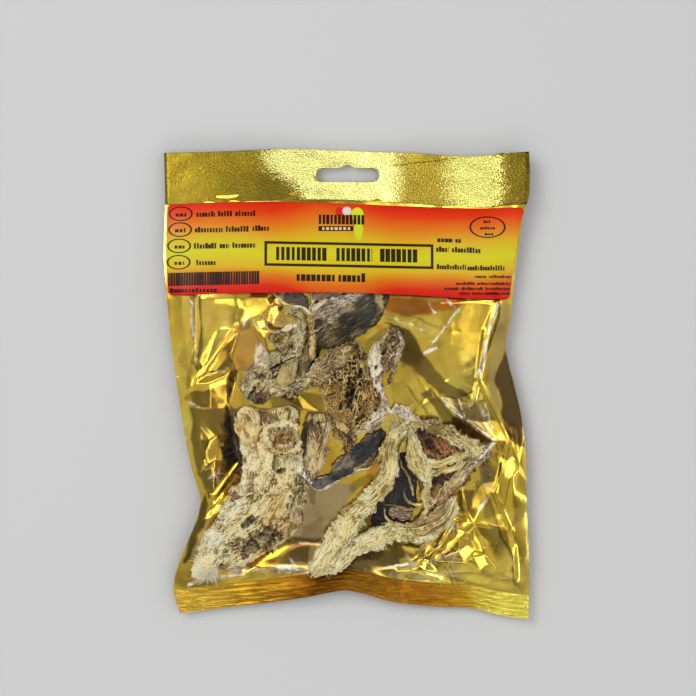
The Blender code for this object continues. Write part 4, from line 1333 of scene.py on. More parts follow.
def stroke_field(x, y, strokes, patches, seed, clear=()):
    """Strokes and outlined patches, from 0 to 1, with wandering edges; the outlines in clear stay free."""
    share = np.zeros(x.shape)
    wander = [1.2 * fractal([x / 9, y / 9], 3, seed + more) for more in (0, 7)]
    wx, wy = x + wander[0], y + wander[1]
    for x0, y0, x1, y1, half_width, strength in strokes:
        distance, _ = distance_to_line(wx, wy, x0, y0, x1, y1)
        share = np.maximum(share, strength * ease(half_width * 1.3, half_width * 0.7, distance))
    for strength, corners in patches:
        share = np.maximum(share, strength * outline_field(wx, wy, corners))
    for corners in clear:
        share = share * (1 - outline_field(x, y, corners))
    return share


def outline_field(x, y, corners):
    """How far a place lies inside an outline: 1 inside, 0 outside, with an edge 1 mm wide."""
    inside, nearest = np.zeros(x.shape, bool), np.full(x.shape, 99.0)
    for (x0, y0), (x1, y1) in zip(corners, corners[1:] + corners[:1]):
        distance, _ = distance_to_line(x, y, x0, y0, x1, y1)
        nearest = np.minimum(nearest, distance)
        between = (y0 > y) != (y1 > y)
        inside ^= between & (x < (x1 - x0) * (y - y0) / (y1 - y0 + 1e-9) + x0)
    return ease(-0.5, 0.5, np.where(inside, nearest, -nearest))


def glint_corners(corners):
    """The closed outline of a leaning facet: x, y and height, which rises at most GLINT_RISE."""
    heights = [x * LEAN[0] + y * LEAN[1] for x, y in corners]
    scale = min(1, GLINT_RISE / (max(heights) - min(heights)))
    lowest = min(heights)
    placed = [(x, y, (height - lowest) * scale + GLINT_FOOT) for (x, y), height in zip(corners, heights)]
    return placed + placed[:1]


def foil_top(x, y):
    """Upper side of the foil: the CAD's height plus folds and facets at three sizes; both fade at the rim."""
    room = np.minimum(1, (1 - np.abs(across(x, y))) * FOLD_SIDE)
    room_foot, room_head = y - seam_line(x, SEAL_FRACTION), seam_line(x, HEADER_FRACTION) - y
    ends = ease(0, FOLD_END, room_foot) * ease(0, FOLD_END, room_head)
    folds = FOIL_FOLDS + [glint_corners(corners) for corners in FOIL_GLINTS]
    facets = facet_field(x, y, spacing=17, seed=3, stretch=1.15, folds=folds, clear=7)
    facets = facets + 0.05 * facet_field(x, y, spacing=8, seed=5)
    facets = facets + 0.012 * facet_field(x, y, spacing=4, seed=9)
    pinch, tubes = np.zeros(x.shape), np.zeros(x.shape)
    for fold in FOIL_FOLDS:
        for start, end in zip(fold, fold[1:]):
            distance, _ = distance_to_line(x, y, *start[:2], *end[:2])
            pinch = np.maximum(pinch, PINCH * (start[2] + end[2]) / 2 * np.clip(1 - distance, 0, 1))
    for *line, half_width, height in FOIL_TUBES:
        distance, along = distance_to_line(x, y, *line)
        section = np.clip(1 - (distance / half_width) ** 2, 0, 1) ** 2
        tubes = np.maximum(tubes, height * section * (0.6 + 0.4 * np.sin(math.pi * along)))
    rise = np.maximum(facets + pinch + tubes, 0) * room * ends
    return back_height(x, y) + FOIL_THICKNESS + rise


def make_foil():
    """The gold back of the pouch: a finely creased upper side with painted reflections and shade, and a
    plain under side a little above the CAD's, which shares its rim."""
    finish = make_foil_material()
    ends = (SEAL_FRACTION - 0.004, HEADER_FRACTION + 0.006)
    x, y = pouch_grid(*FOIL_GRID, *ends)
    mesh = sheet_mesh("gold_foil", x, y, foil_top(x, y))
    # Painted reflections and shade: shares of dark, orange and tan for the foil's colour.
    dark = stroke_field(x, y, SHADE_AND_DARK_REFLECTION_STROKES, SHADE_AND_DARK_REFLECTION_PATCHES, 41, FOIL_GLINTS)
    orange = stroke_field(x, y, ORANGE_REFLECTION_STROKES, ORANGE_REFLECTION_PATCHES, 42)
    tan = stroke_field(x, y, TAN_REFLECTION_STROKES, TAN_REFLECTION_PATCHES, 43)
    paint(mesh, "relief", dark, orange, tan)
    add_piece("gold_foil", mesh, finish, "gold_film", "gold_back")
    x, y = pouch_grid(*UNDER_GRID, *ends)
    z = foil_top(x, y)
    crumple = UNDER_CRUMPLE * (1 + np.clip(fractal([x / 9, y / 9], 3, 47), -1, 1))
    z[1:-1, 1:-1] = (back_height(x, y) + crumple)[1:-1, 1:-1]
    mesh = sheet_mesh("gold_foil_under", x, y, z, flip=True)
    paint(mesh, "relief", *np.zeros((3, *x.shape)))
    add_piece("gold_foil_under", mesh, finish, "gold_film", "gold_back")


def film_heights(tops):
    """The front film: drawn tight over the fish, swelled by air, then creased."""
    x, y = pouch_grid(*FILM_GRID)
    floor = np.maximum(back_height(x, y) + FILM_LIFT, foil_top(x, y) + FILM_GAP)
    room_side = (1 - np.abs(across(x, y))) * (right_edge(y) - left_edge(y)) / 2
    room_foot, room_head = y - seam_line(x, SEAL_FRACTION), seam_line(x, HEADER_FRACTION) - y
    puff = PUFF * swell(room_side / PUFF_SIDE) * swell(room_foot / PUFF_FOOT) * swell(room_head / PUFF_HEAD)
    obstacle = spread(tops, 2)[::2, ::2] + DRAPE_GAP
    coarse_floor, coarse_puff = floor[::2, ::2], puff[::2, ::2]
    height = np.maximum(coarse_floor + 0.75 * coarse_puff, soften(obstacle, 30) * 0.8)
    height[[0, -1]], height[:, [0, -1]] = coarse_floor[[0, -1]], coarse_floor[:, [0, -1]]
    height = draped(height, obstacle, coarse_floor + 0.70 * coarse_puff, rounds=500, swelling=0.003)
    height = resized(height, *FILM_GRID)
    for _ in range(24):  # no steeper than a tent's side
        height = np.maximum(height, spread(height, 1) - TENT_STEP)
    envelope = swell(room_side / CREASE_SIDE) * swell(room_foot / CREASE_FOOT)
    envelope = envelope * swell(room_head / CREASE_HEAD)
    creased = 0.5 * facet_field(x, y, spacing=26, seed=31, stretch=1.2)
    creased = creased + 0.07 * facet_field(x, y, spacing=9, seed=35) + ridge_field(x, y, FILM_FOLDS)
    stiff = ease(-1, 3, y - label_bottom(x)) * ease(-1, 3, label_top(x) - y)
    height = height + creased * envelope * (1 - 0.6 * stiff)
    height = np.maximum(height, spread(tops, 1) + FILM_GAP)
    height = mix(soften(height, 3), soften(height, 16), stiff)
    height = np.maximum(height, floor)
    height[0], height[-1], height[:, 0], height[:, -1] = floor[0], floor[-1], floor[:, 0], floor[:, -1]
    return x, y, height


def make_film(x, y, height):
    """The clear front film as one sheet from seam to seam, with a ragged upper edge and a painted sheen along
    its creases.
    """
    ragged = 0.9 * fractal([x[-1] / 2.2, x[-1] * 0], 3, 71)
    torn_y = y.copy()
    torn_y[-3:] += np.outer((0.3, 0.6, 1.0), 0.6 + ragged)
    y = torn_y
    mesh = sheet_mesh("clear_film", x, y, height)
    # Painted sheen along the crease lines, uneven along each, for the film's material to read.
    line, bend = np.zeros(x.shape), fractal([x / 4, y / 4], 3, 79)
    sheen_unevenness = 0.55 + 0.45 * noise([x / 1.4, y / 1.4], 77)
    for *ends, strength, half_width in FILM_CREASE_SHEENS:
        distance, along = distance_to_line(x + 0.5 * bend, y + 0.5 * np.roll(bend, 3, axis=0), *ends)
        edge = ease(half_width, half_width * 0.25, distance)
        line = np.maximum(line, strength * edge * sheen_unevenness * ease(0, 0.1, along) * ease(1, 0.9, along))
    paint(mesh, "relief", line)
    add_piece("clear_film", mesh, make_film_material(), "clear_film", "clear_pouch")


def make_label(height):
    """The label, which lies on the film and shares its creases; its flat pattern is in decimetres."""
    lines = np.linspace(0, 1, LABEL_ROWS), np.linspace(-1, 1, LABEL_COLUMNS)
    row, column = np.meshgrid(*lines, indexing="ij")
    column = np.sign(column) * (1 - (1 - np.abs(column)) ** 1.2)
    y_middle = mix(label_bottom(0.0), label_top(0.0), row)
    left, right = left_edge(y_middle) + LABEL_INSET_LEFT, right_edge(y_middle) - LABEL_INSET_RIGHT
    x = mix(left, right, (column + 1) / 2)
    reach = np.clip(LABEL_CORNER - np.minimum(x - left, right - x), 0, LABEL_CORNER)
    cut = LABEL_CORNER - np.sqrt(np.maximum(LABEL_CORNER**2 - reach**2, 0))
    y = mix(label_bottom(x) + cut, label_top(x) - cut, row)
    z = sample(soften(height, 2), *grid_place(x, y, *height.shape)) + LABEL_LIFT
    mesh = sheet_mesh("label", x, y, z)
    store_uv(mesh, x / 100, y / 100)
    paint(mesh, "relief", row)
    thicken(add_piece("label_sheet", mesh, make_label_material(), "label_print", "label"), LABEL_THICKNESS)


def slot_outline(ends, arch):
    """The hang slot's outline, from its right end round to the left: two half circles and an arch."""
    radius, reach = SLOT_HEIGHT / 2, SLOT_LENGTH / 2 - SLOT_HEIGHT / 2
    turn = np.linspace(-math.pi / 2, math.pi / 2, ends)
    t = np.linspace(0, 1, arch + 2)[1:-1]
    x = reach - 2 * reach * t
    hump = SLOT_ARCH_RISE * (1 + np.cos(2 * math.pi * np.clip(x / SLOT_ARCH_WIDTH, -0.5, 0.5))) / 2
    right = np.column_stack([reach + radius * np.cos(turn), radius * np.sin(turn)])
    top = np.column_stack([x, radius + hump])
    bottom = np.column_stack([-x, np.full(arch, -radius)])
    return np.vstack([right, top, -right, bottom]) + (SLOT_X, SLOT_Y)


def make_header():
    """The header: rings that run from the hang slot's outline out to the header's own outline."""
    inner = slot_outline(HEADER_ENDS, HEADER_ARCH)
    up = np.linspace(0, 1, HEADER_ENDS)
    along = np.linspace(1, -1, HEADER_ARCH + 2)[1:-1]
    low = HEADER_FRACTION - 0.010
    column = np.concatenate([np.ones(HEADER_ENDS), along, -np.ones(HEADER_ENDS), -along])
    rising = mix(low, 1, up)
    fraction = np.concatenate([rising, np.ones(HEADER_ARCH), rising[::-1], np.full(HEADER_ARCH, low)])
    outer = np.column_stack(place_on_bag(column, fraction))
    flat = mix(inner, outer, np.linspace(0, 1, HEADER_RINGS)[:, None, None])
    x, y = flat[..., 0], flat[..., 1]
    z = back_height(x, y) + HEADER_THICKNESS + 0.28 * fractal([x / 14, y / 9], 3, 81)
    mesh = sheet_mesh("header_strip", x, y, z, wrap=True, flip=True)
    strip_piece = add_piece("header_strip", mesh, make_header_material(), "gold_film", "gold_back")
    thicken(strip_piece, HEADER_THICKNESS)


def make_seal():
    """The foot seal: ribs across it, worked out as a sine along its width, and a slight wave."""
    x, y = pouch_grid(*SEAL_GRID, 0, SEAL_FRACTION + 0.006)
    share = np.linspace(0, 1, SEAL_GRID[0])[:, None]
    rib = SEAL_RIB_HEIGHT * np.sin(2 * math.pi * SEAL_RIBS * share)
    rib = rib * ease(0, 0.08, share) * ease(1, 0.9, share)
    z = back_height(x, y) + SEAL_TOP + rib + 0.35 * fractal([x / 22, y / 7], 3, 91)
    mesh = sheet_mesh("foot_seal", x, y, z)
    thicken(add_piece("foot_seal", mesh, make_seal_material(), "gold_film", "gold_back"), SEAL_THICKNESS)


# ---------------------------------------------------------------- what is in the bag
def fibres(name, finish, roots, directions, lengths, radius, curl, seed, low, high):
    """Fine threads: each starts at a root, runs its own way and curls, as a tube of four sides.

    They stay above the foil and below the film, whose heights are low and high.
    """
    count, joints = len(roots), 9
    who = np.arange(count)
    along = np.linspace(0, 1, joints)
    bend = np.stack([random_at((who, who * 0 + k), seed) - 0.5 for k in range(3)], -1)
    wave = np.roll(bend, 1, 1)[:, None] * np.sin(along * 5)[None, :, None] * 0.35
    spine = roots[:, None] + directions[:, None] * (lengths[:, None] * along)[..., None]
    spine = spine + (bend[:, None] * (along**2)[None, :, None] + wave) * (lengths * curl)[:, None, None]
    turn = np.arange(TUBE_SIDES) * 2 * math.pi / TUBE_SIDES
    ring = np.stack([np.cos(turn), np.sin(turn), np.sin(turn + 1) * 0.4], -1)
    size = radius * (1 - 0.75 * along)
    flat = (spine[:, :, None] + ring[None, None] * size[None, :, None, None]).reshape(-1, 3)
    x, y, z = flat.T
    place = grid_place(x, y, *low.shape)
    lowest = sample(low, *place)
    flat[:, 2] = np.clip(z, lowest, np.maximum(sample(high, *place), lowest + 0.1))
    mesh = mesh_from(name, flat, tube_faces(count, joints, TUBE_SIDES))
    shade = np.repeat(0.4 + 0.6 * random_at((who, who * 0), seed + 5), joints * TUBE_SIDES)
    paint(mesh, "relief", np.zeros(len(flat)), shade)
    add_piece(name, mesh, finish, "dried_fish")


def tuft(name, finish, room, centre, heading, spread_angle, count, length, radius, seed, size, curl):
    """A tuft of threads that fan out from a patch of the given half sizes."""
    who = np.arange(count)
    number = [random_at((who, who * 0 + k), seed) for k in range(6)]
    roots = np.array(centre) + np.stack([(number[k] - 0.5) * 2 * size[k] for k in range(3)], -1)
    angle = np.radians(heading + (number[3] - 0.5) * spread_angle)
    directions = np.stack([np.cos(angle), np.sin(angle), (number[4] - 0.4) * 0.5], -1)
    fibres(name, finish, roots, directions, length * (0.4 + 0.6 * number[5]), radius, curl, seed, *room)


# Flesh and skin: name, its pale, straw, brown and deep tones as a screen shows them, how far its
# fibres are drawn out along the piece, and its gloss.
FLESH = {
    "straw": ("straw flesh", (246, 233, 184), (218, 193, 120), (138, 104, 60), (60, 40, 26), 0.3, 0),
    "pale_crust": ("pale crust", (250, 243, 208), (226, 208, 150), (152, 124, 80), (70, 48, 34), 0.4, 0),
    "tan": ("tan flesh", (226, 207, 156), (184, 158, 106), (120, 90, 58), (52, 34, 24), 0.35, 0),
    "cream": ("cream collar", (246, 238, 190), (214, 198, 130), (146, 122, 72), (66, 48, 28), 0.14, 0),
    "blade": ("pale blade", (250, 243, 198), (224, 210, 146), (156, 134, 82), (74, 56, 32), 0.14, 0),
    "sponge": ("brown sponge", (232, 206, 138), (172, 134, 70), (94, 64, 38), (44, 24, 18), 0.8, 0),
    "grey": ("grey ragged flesh", (232, 217, 170), (182, 160, 106), (112, 86, 54), (44, 30, 24), 0.5, 0),
    "olive": ("olive smooth flesh", (206, 192, 134), (166, 150, 94), (98, 84, 52), (40, 32, 22), 0.4, 0),
    "skin": ("dark striped skin", (154, 139, 100), (77, 65, 37), (37, 29, 14), (12, 9, 5), 0.1, 0),
    "black": ("blue black skin", (140, 130, 116), (64, 57, 58), (30, 26, 28), (10, 8, 9), 0.2, 0.1),
    "film_skin": ("thin grey skin", (234, 232, 224), (166, 164, 156), (104, 96, 90), (38, 32, 32), 0.3, 0.15),
    "white": ("pale membrane", (240, 230, 210), (198, 182, 158), (128, 110, 90), (62, 48, 40), 0.5, 0),
    "bright": ("bright membrane", (252, 246, 232), (232, 222, 198), (160, 144, 120), (72, 58, 48), 0.5, 0),
    "amber": ("red brown web", (190, 132, 66), (134, 88, 38), (84, 46, 20), (40, 20, 12), 0.5, 0.3),
}


def make_fish_pieces():
    """Every piece of fish.  Each has its name, its flesh, its seed, how many rows, columns above and
    columns below it has, its path and whatever differs from a plain piece or from the one it is like.

    A path's stations give x, y, z, half width and half thickness.  A hollow or stain gives x, y, half
    length, half width, turn in degrees, depth and how dark it is.
    """
    group = make_flesh_group()
    finishes = {name: make_flesh_material(group, *tones) for name, tones in FLESH.items()}
    curl = dict(
        ragged=(1.4, 0.8), fibre=0.35, pores=0.6, spongy=0.3, lumps=0.7, crust=0.5, crack=0.4, tone=0.45,
    )
    collar = dict(
        ragged=(1.8, 1.3), square=2.6, sway=0.3, fibre_width=1, furrow=0.8, pores=0.5, spongy=0.05,
        lumps=0.5, crust=0.5, crack=0.9, tone=0.6, patches=0.8,
    )
    web = dict(ragged=(2.4, 0.8), fibre=0.3, pores=0.4, spongy=0.12, lumps=0.6, crack=0.35, tone=0.62)
    ribbon = dict(ragged=(1.6, 0.55), fibre=0.25, furrow=0.1, pores=0.2, lumps=0.5, crack=0.3)
    pieces = []

    def fish(name, flesh, seed, grid, path, like=None, **own):
        """Adds a piece along a path, plain but for what the kind it is like and its own values say."""
        look = SimpleNamespace(**(PLAIN_FISH | (like or {}) | own))
        form = strip(path, *grid, look.square, look.blunt, look.ragged, seed)
        pieces.extend(make_fish(name, form, finishes[flesh], seed, look))

    # the long fillet at the lower left, with its ring, flap, tail and skin edge
    fish("fillet", "straw", 101, (310, 140, 26), [
        (-41.1, -13.2, 9.5, 17.26, 6.5), (-40.8, -19.5, 10, 16.77, 7), (-38.6, -29.2, 10.5, 15.07, 7.5),
        (-37.2, -38.3, 10.5, 14.58, 8), (-36.7, -47.5, 10.3, 15.07, 8), (-37.9, -57.2, 10, 17.5, 8),
        (-43.9, -68.1, 9.7, 19.2, 7.6), (-51.4, -75.4, 9, 17.01, 6.8), (-59.9, -82.1, 8, 13.61, 6),
        (-69, -89.4, 6.5, 9.24, 4.5), (-74.6, -96.1, 5, 5.1, 3),
    ], hollows=[
        (-32.1, -27.3, 5.1, 3.6, 5, 5.4, 0.1), (-37.1, -40.2, 3.2, 0.9, 84, 3.5),
        (-33.3, -44.1, 2.3, 1.6, 20, 4.5), (-43.8, -80.5, 12.9, 5.3, 30, 5, 1),
        (-50.8, -70.5, 4.9, 2.1, 40, 3, 0.95), (-35.6, -39.2, 1.7, 4.9, 0, 2.6, 0.6),
        (-54.4, -19.5, 4.1, 1.2, 60, 1.4, 0.4), (-22.8, -51.1, 4.9, 1.5, 70, 1.6, 0.5),
        (-27.7, -64.5, 6.1, 1.5, 75, 1.4, 0.4), (-41.1, -54.8, 1.9, 0.9, 40, 1.6, 0.7),
        (-38.9, -56.9, 1.5, 0.7, 70, 1.6, 0.8), (-30.1, -36.5, 2.4, 1.1, 60, 1.6, 0.6),
        (-37.4, -48.7, 1.7, 0.7, 20, 1.4, 0.7),
    ], stains=[
        (-32.1, -27.3, 6.3, 4.6, 0, 1), (-22.8, -66.9, 13.4, 4.1, 75, 0.5),
        (-60.5, -83.9, 4.9, 1.9, 40, 0.5), (-30.1, -76.6, 7.3, 2.9, 50, 0.6),
        (-48.4, -24.4, 2.4, 7.3, 0, 0.3), (-66.6, -85.9, 2.7, 1.5, 20, 0.8),
    ], ragged=(3.6, 1.6), square=2.6, sway=0.6, fibre=0.36, furrow=0.9, pores=0.9, spongy=0.26, lumps=1.9,
        crust=0.45, crack=0.6, tone=0.64, lean=-0.06, patches=1.3, broad=0.34, gaps=0.45,
        strands=(330, 3, 0.34, 30))
    fish("fillet_ring", "straw", 103, (170, 30, 10), [
        (-23.3, -28.5, 18.8, 1.09, 1.4), (-25.3, -32.6, 19.4, 1.46, 1.9), (-31.1, -35.3, 19.8, 1.7, 2.1),
        (-38.4, -33.1, 19.8, 1.94, 2.3), (-41.8, -27.8, 19.8, 1.82, 2.1), (-40.1, -22.7, 19.8, 1.58, 2),
        (-34.3, -20.2, 20, 1.82, 2.1), (-28.2, -19.5, 19.8, 1.94, 2.1), (-24.3, -22.9, 19.2, 1.46, 1.7),
    ], ragged=(1.8, 1.4), square=2.2, fibre=0.25, furrow=0.3, pores=0.6, spongy=0.3, lumps=0.9, crust=0.4,
        tone=0.74, patches=0.8, gaps=0.5)
    fish("ring_floor", "sponge", 104, (80, 50, 12), [
        (-37.4, -27.8, 14.2, 1.94, 1.6), (-34.8, -27.5, 15.4, 3.89, 2), (-31.8, -27.3, 15.8, 4.25, 2.2),
        (-28.9, -27, 15.4, 3.65, 2), (-26.3, -26.8, 14.2, 1.7, 1.6),
    ], hollows=[
        (-32.8, -25.8, 1.7, 0.6, 30, 1.2, 0.7), (-29.7, -28.3, 1.1, 0.6, 70, 1.2, 0.7),
    ], stains=[
        (-31.8, -27.3, 4.9, 3.6, 0, 0.8),
    ], ragged=(2, 0.8), blunt=4, fibre=0.2, pores=0.35, lumps=0.9, crust=0.25, crack=0.4, patches=0.9)
    fish("fillet_flap", "straw", 107, (120, 64, 12), [
        (-55.4, -13.7, 14, 2.67, 1.6), (-51.3, -16.5, 15.6, 5.59, 2), (-49.8, -22.5, 16.4, 6.08, 2),
        (-48.4, -28.3, 16.8, 4.13, 1.8), (-47.2, -31.7, 16.6, 1.7, 1.2),
    ], hollows=[
        (-51, -25.1, 3.2, 1.1, -60, 1.6, 0.45),
    ], fibre=0.12, furrow=0.3, pores=0.3, crust=0.2, crack=0.3, tone=0.54, patches=0.9, gaps=0.5,
        strands=(30, 2.5, 0.3, 30))
    fish("tail_clump", "pale_crust", 113, (110, 60, 14), [
        (-67.8, -84.2, 8.6, 2.67, 2.4), (-70.7, -88, 8.6, 4.37, 3), (-73.2, -92.4, 7.6, 5.1, 3),
        (-75.3, -96.6, 6, 4.13, 2.6), (-77.8, -100, 4.6, 2.19, 1.6),
    ], ragged=(1.6, 1.4), square=2.2, fibre=0.4, furrow=0.5, pores=0.4, lumps=1.2, crust=0.5, crack=0.2,
        tone=0.98, patches=0.4, gaps=0.4)
    fish("fillet_crust", "pale_crust", 109, (200, 64, 12), [
        (-45.7, -30.4, 15.5, 2.67, 2.6), (-46.4, -36.5, 16.4, 3.89, 3), (-47.4, -45, 16.4, 4.62, 3.2),
        (-49.1, -52.3, 16, 4.62, 3.2), (-54, -60.8, 15.2, 5.35, 3.2), (-60.5, -69.3, 13.8, 5.47, 3),
        (-67.1, -79.1, 12, 4.37, 2.6), (-72.4, -86.3, 10, 3.4, 2.4), (-75.3, -92.4, 8, 2.67, 2),
    ], ragged=(2.4, 1.6), fibre=0.4, furrow=0.9, pores=0.7, spongy=0.25, lumps=1.2, crust=0.5, tone=0.66,
        patches=1, gaps=0.5, strands=(240, 3, 0.36, 35))
    fish("fillet_smooth", "straw", 110, (100, 50, 12), [
        (-28.7, -53.8, 17.2, 1.94, 1.4), (-32.1, -57.2, 18, 4.13, 2), (-36, -62.8, 18, 4.62, 2.2),
        (-39.4, -68.1, 17.2, 3.16, 1.8), (-41.8, -71.8, 16, 1.22, 1.2),
    ], ragged=(2.4, 1.4), fibre=0.12, furrow=0.35, pores=0.3, crust=0.25, crack=0.25, tone=0.72,
        patches=0.7, gaps=0.5)

    # the plate beside the fillet
    fish("side_plate", "tan", 117, (140, 74, 14), [
        (-14.6, -15.1, 8.5, 7.05, 4), (-15.1, -25.1, 9.5, 6.81, 4.5), (-16.5, -35.3, 9, 6.56, 4.5),
        (-18, -44.1, 8, 4.62, 3.5), (-18.7, -48.9, 7, 2.43, 3),
    ], hollows=[
        (-22.1, -30.4, 7.3, 0.7, 85, 1.8), (-12.9, -19.5, 4.4, 0.9, 15, 1.2, 0.7),
    ], stains=[
        (-13.1, -26.8, 7.3, 1.9, 80, 0.4),
    ], ragged=(3, 1.2), square=2.6, furrow=1, spongy=0.2, lumps=1.1, crack=0.7, tone=0.54, patches=0.9,
        strands=(130, 3.4, 0.45, 25))
    fish("plate_dark_edge", "skin", 118, (130, 12, 8), [
        (-16.3, -17.8, 11.4, 0.3, 0.8), (-19.9, -21, 12.8, 0.43, 1), (-21.5, -27.4, 13.4, 0.43, 1.1),
        (-22, -36.5, 13, 0.43, 1.1), (-25.3, -41.1, 11, 0.3, 0.8),
    ], ragged=(2.4, 0.5), fibre=0.2, spongy=0, lumps=0.3, crust=0.2, tone=0.2)

    # the dark skin at the fillet's left
    fish("fillet_skin_edge", "skin", 123, (150, 24, 10), [
        (-59.1, -11, 9.8, 0.36, 1.4), (-58.3, -15.3, 10.4, 0.61, 1.8), (-57.4, -21.9, 10.8, 0.73, 2),
        (-56.4, -29.2, 10.8, 0.85, 2), (-54.9, -36.5, 10.6, 1.09, 2), (-53.7, -42.4, 9.8, 0.85, 1.8),
        (-52.7, -47, 9, 0.36, 1.2),
    ], ragged=(2.4, 0.8), fibre=0.4, spongy=0.2, lumps=0.6, crust=0.4, tone=0.36, patches=0.9)
    fish("fillet_edge_flap", "film_skin", 124, (60, 20, 8), [
        (-54.4, -49.4, 10.4, 0.49, 1), (-55.7, -52.8, 11, 1.09, 1.4), (-57.1, -56.2, 10.4, 0.97, 1.2),
        (-58.3, -58.9, 9.4, 0.36, 0.8),
    ], ragged=(2.4, 0.5), fibre=0.2, lumps=0.4, crust=0.2, tone=0.25)

    # the striped skin that runs up under the label
    fish("striped_skin", "skin", 131, (240, 120, 22), [
        (-18, 19.6, 8.6, 3.4, 2.5), (-14.6, 23.5, 9.6, 7.05, 4.2), (-9.5, 28.1, 10, 9.48, 5),
        (-3.2, 32.3, 10.2, 10.69, 5), (3.6, 36.6, 10.2, 11.06, 5), (10.2, 41, 10, 10.69, 4.8),
        (16, 44.9, 9.6, 6.81, 4.4), (20.2, 47.8, 9, 3.16, 3),
    ], ragged=(3, 0.9), sway=0.05, fibre=0.8, fibre_width=0.7, furrow=0.35, pores=0.2, spongy=0, lumps=0.5,
        crust=0.15, crack=0.8, tone=0.38, patches=1, broad=0.4, strands=(460, 7, 0.2, 5))
    fish("skin_bone_edge", "straw", 137, (220, 26, 12), [
        (-16.9, 12.6, 8.8, 0.97, 2.4), (-17.1, 15.7, 9.8, 1.58, 3.4), (-17.3, 24.2, 11, 1.7, 4),
        (-18.1, 32.7, 11.4, 1.7, 4), (-17.7, 40, 11, 1.58, 3.6), (-17.3, 47.3, 10, 1.46, 3),
    ], fibre=0.4, spongy=0.2, lumps=0.6, crack=0.7, tone=0.55, strands=(120, 3, 0.36, 30))
    fish("pink_membrane", "bright", 139, (170, 16, 8), [
        (-37.4, 47.3, 10, 0.49, 1), (-34.5, 43.9, 12, 0.61, 1.2), (-31.4, 41.5, 13, 0.73, 1.3),
        (-28.2, 40.2, 13.4, 0.73, 1.3), (-23.8, 39.8, 13.6, 0.73, 1.3), (-19.9, 37.8, 13.6, 0.67, 1.2),
        (-17.3, 34.7, 13.4, 0.49, 0.9),
    ], ragged=(2.4, 0.5), fibre=0.2, pores=0.2, spongy=0, lumps=0.3, crust=0.2, crack=0.2, tone=0.8)
    fish("dark_membrane", "film_skin", 140, (130, 40, 12), [
        (-33.8, 50.2, 8.5, 2.67, 1.4), (-27.7, 46.1, 9.2, 4.13, 1.8), (-22.8, 42.2, 9.4, 3.65, 1.8),
        (-19.2, 38.8, 9.2, 1.46, 1.2),
    ], ragged=(3, 1), fibre=0.3, pores=0.3, crust=0.2, crack=0.3, tone=0.22, patches=0.9)
    fish("skin_pale_streak_1", "white", 143, (130, 46, 10), [
        (-17.3, 34.9, 14.4, 1.7, 1.2), (-13.6, 37.4, 15.2, 4.13, 1.6), (-7.8, 40.5, 15.4, 4.37, 1.7),
        (-1.5, 43.4, 15.2, 3.4, 1.6), (4.6, 46.4, 14.8, 2.43, 1.4), (10.7, 49.8, 14, 1.46, 1),
    ], stains=[
        (-13.1, 43.2, 3.6, 1.9, 30, 0.5),
    ], ragged=(2.2, 1.6), fibre=0.35, fibre_width=1.2, furrow=0.5, pores=0.3, spongy=0.05, lumps=0.9,
        crust=0.25, crack=0.6, tone=0.62, patches=1.5, strands=(90, 5, 0.22, 12))
    fish("skin_top_membrane", "white", 144, (110, 46, 12), [
        (-16.5, 43.7, 13.4, 1.22, 1), (-11.9, 46.6, 14, 3.65, 1.6), (-5.8, 49, 14, 4.13, 1.6),
        (1.5, 51.5, 13.6, 2.43, 1.3),
    ], stains=[
        (-11.9, 46.6, 4.9, 2.4, 30, 0.6),
    ], fibre=0.3, pores=0.3, tone=0.4, patches=1.2)
    fish("skin_pale_streak_2", "white", 145, (110, 22, 10), [
        (-16.5, 26.7, 14.2, 0.49, 0.8), (-13.1, 29.3, 15, 0.73, 0.9), (-8.3, 32.7, 15.4, 0.73, 0.9),
        (-2.9, 36.6, 15.4, 0.61, 0.8),
    ], ragged=(2, 1), lumps=0.4, crack=0.9, tone=0.3, patches=0.9, strands=(50, 5, 0.2, 12))
    fish("skin_olive_rim", "olive", 146, (120, 34, 10), [
        (11.9, 30.3, 13, 0.49, 0.9), (15.1, 33, 13.4, 1.22, 1.3), (16.8, 38.3, 13.6, 1.94, 1.4),
        (16.5, 43.2, 13.4, 2.43, 1.4), (15.1, 47.6, 13, 1.94, 1.2),
    ], ragged=(1.8, 1.2), fibre=0.4, spongy=0.3, lumps=0.6, crust=0.5, crack=0.8, patches=1.2,
        strands=(90, 3, 0.24, 40))

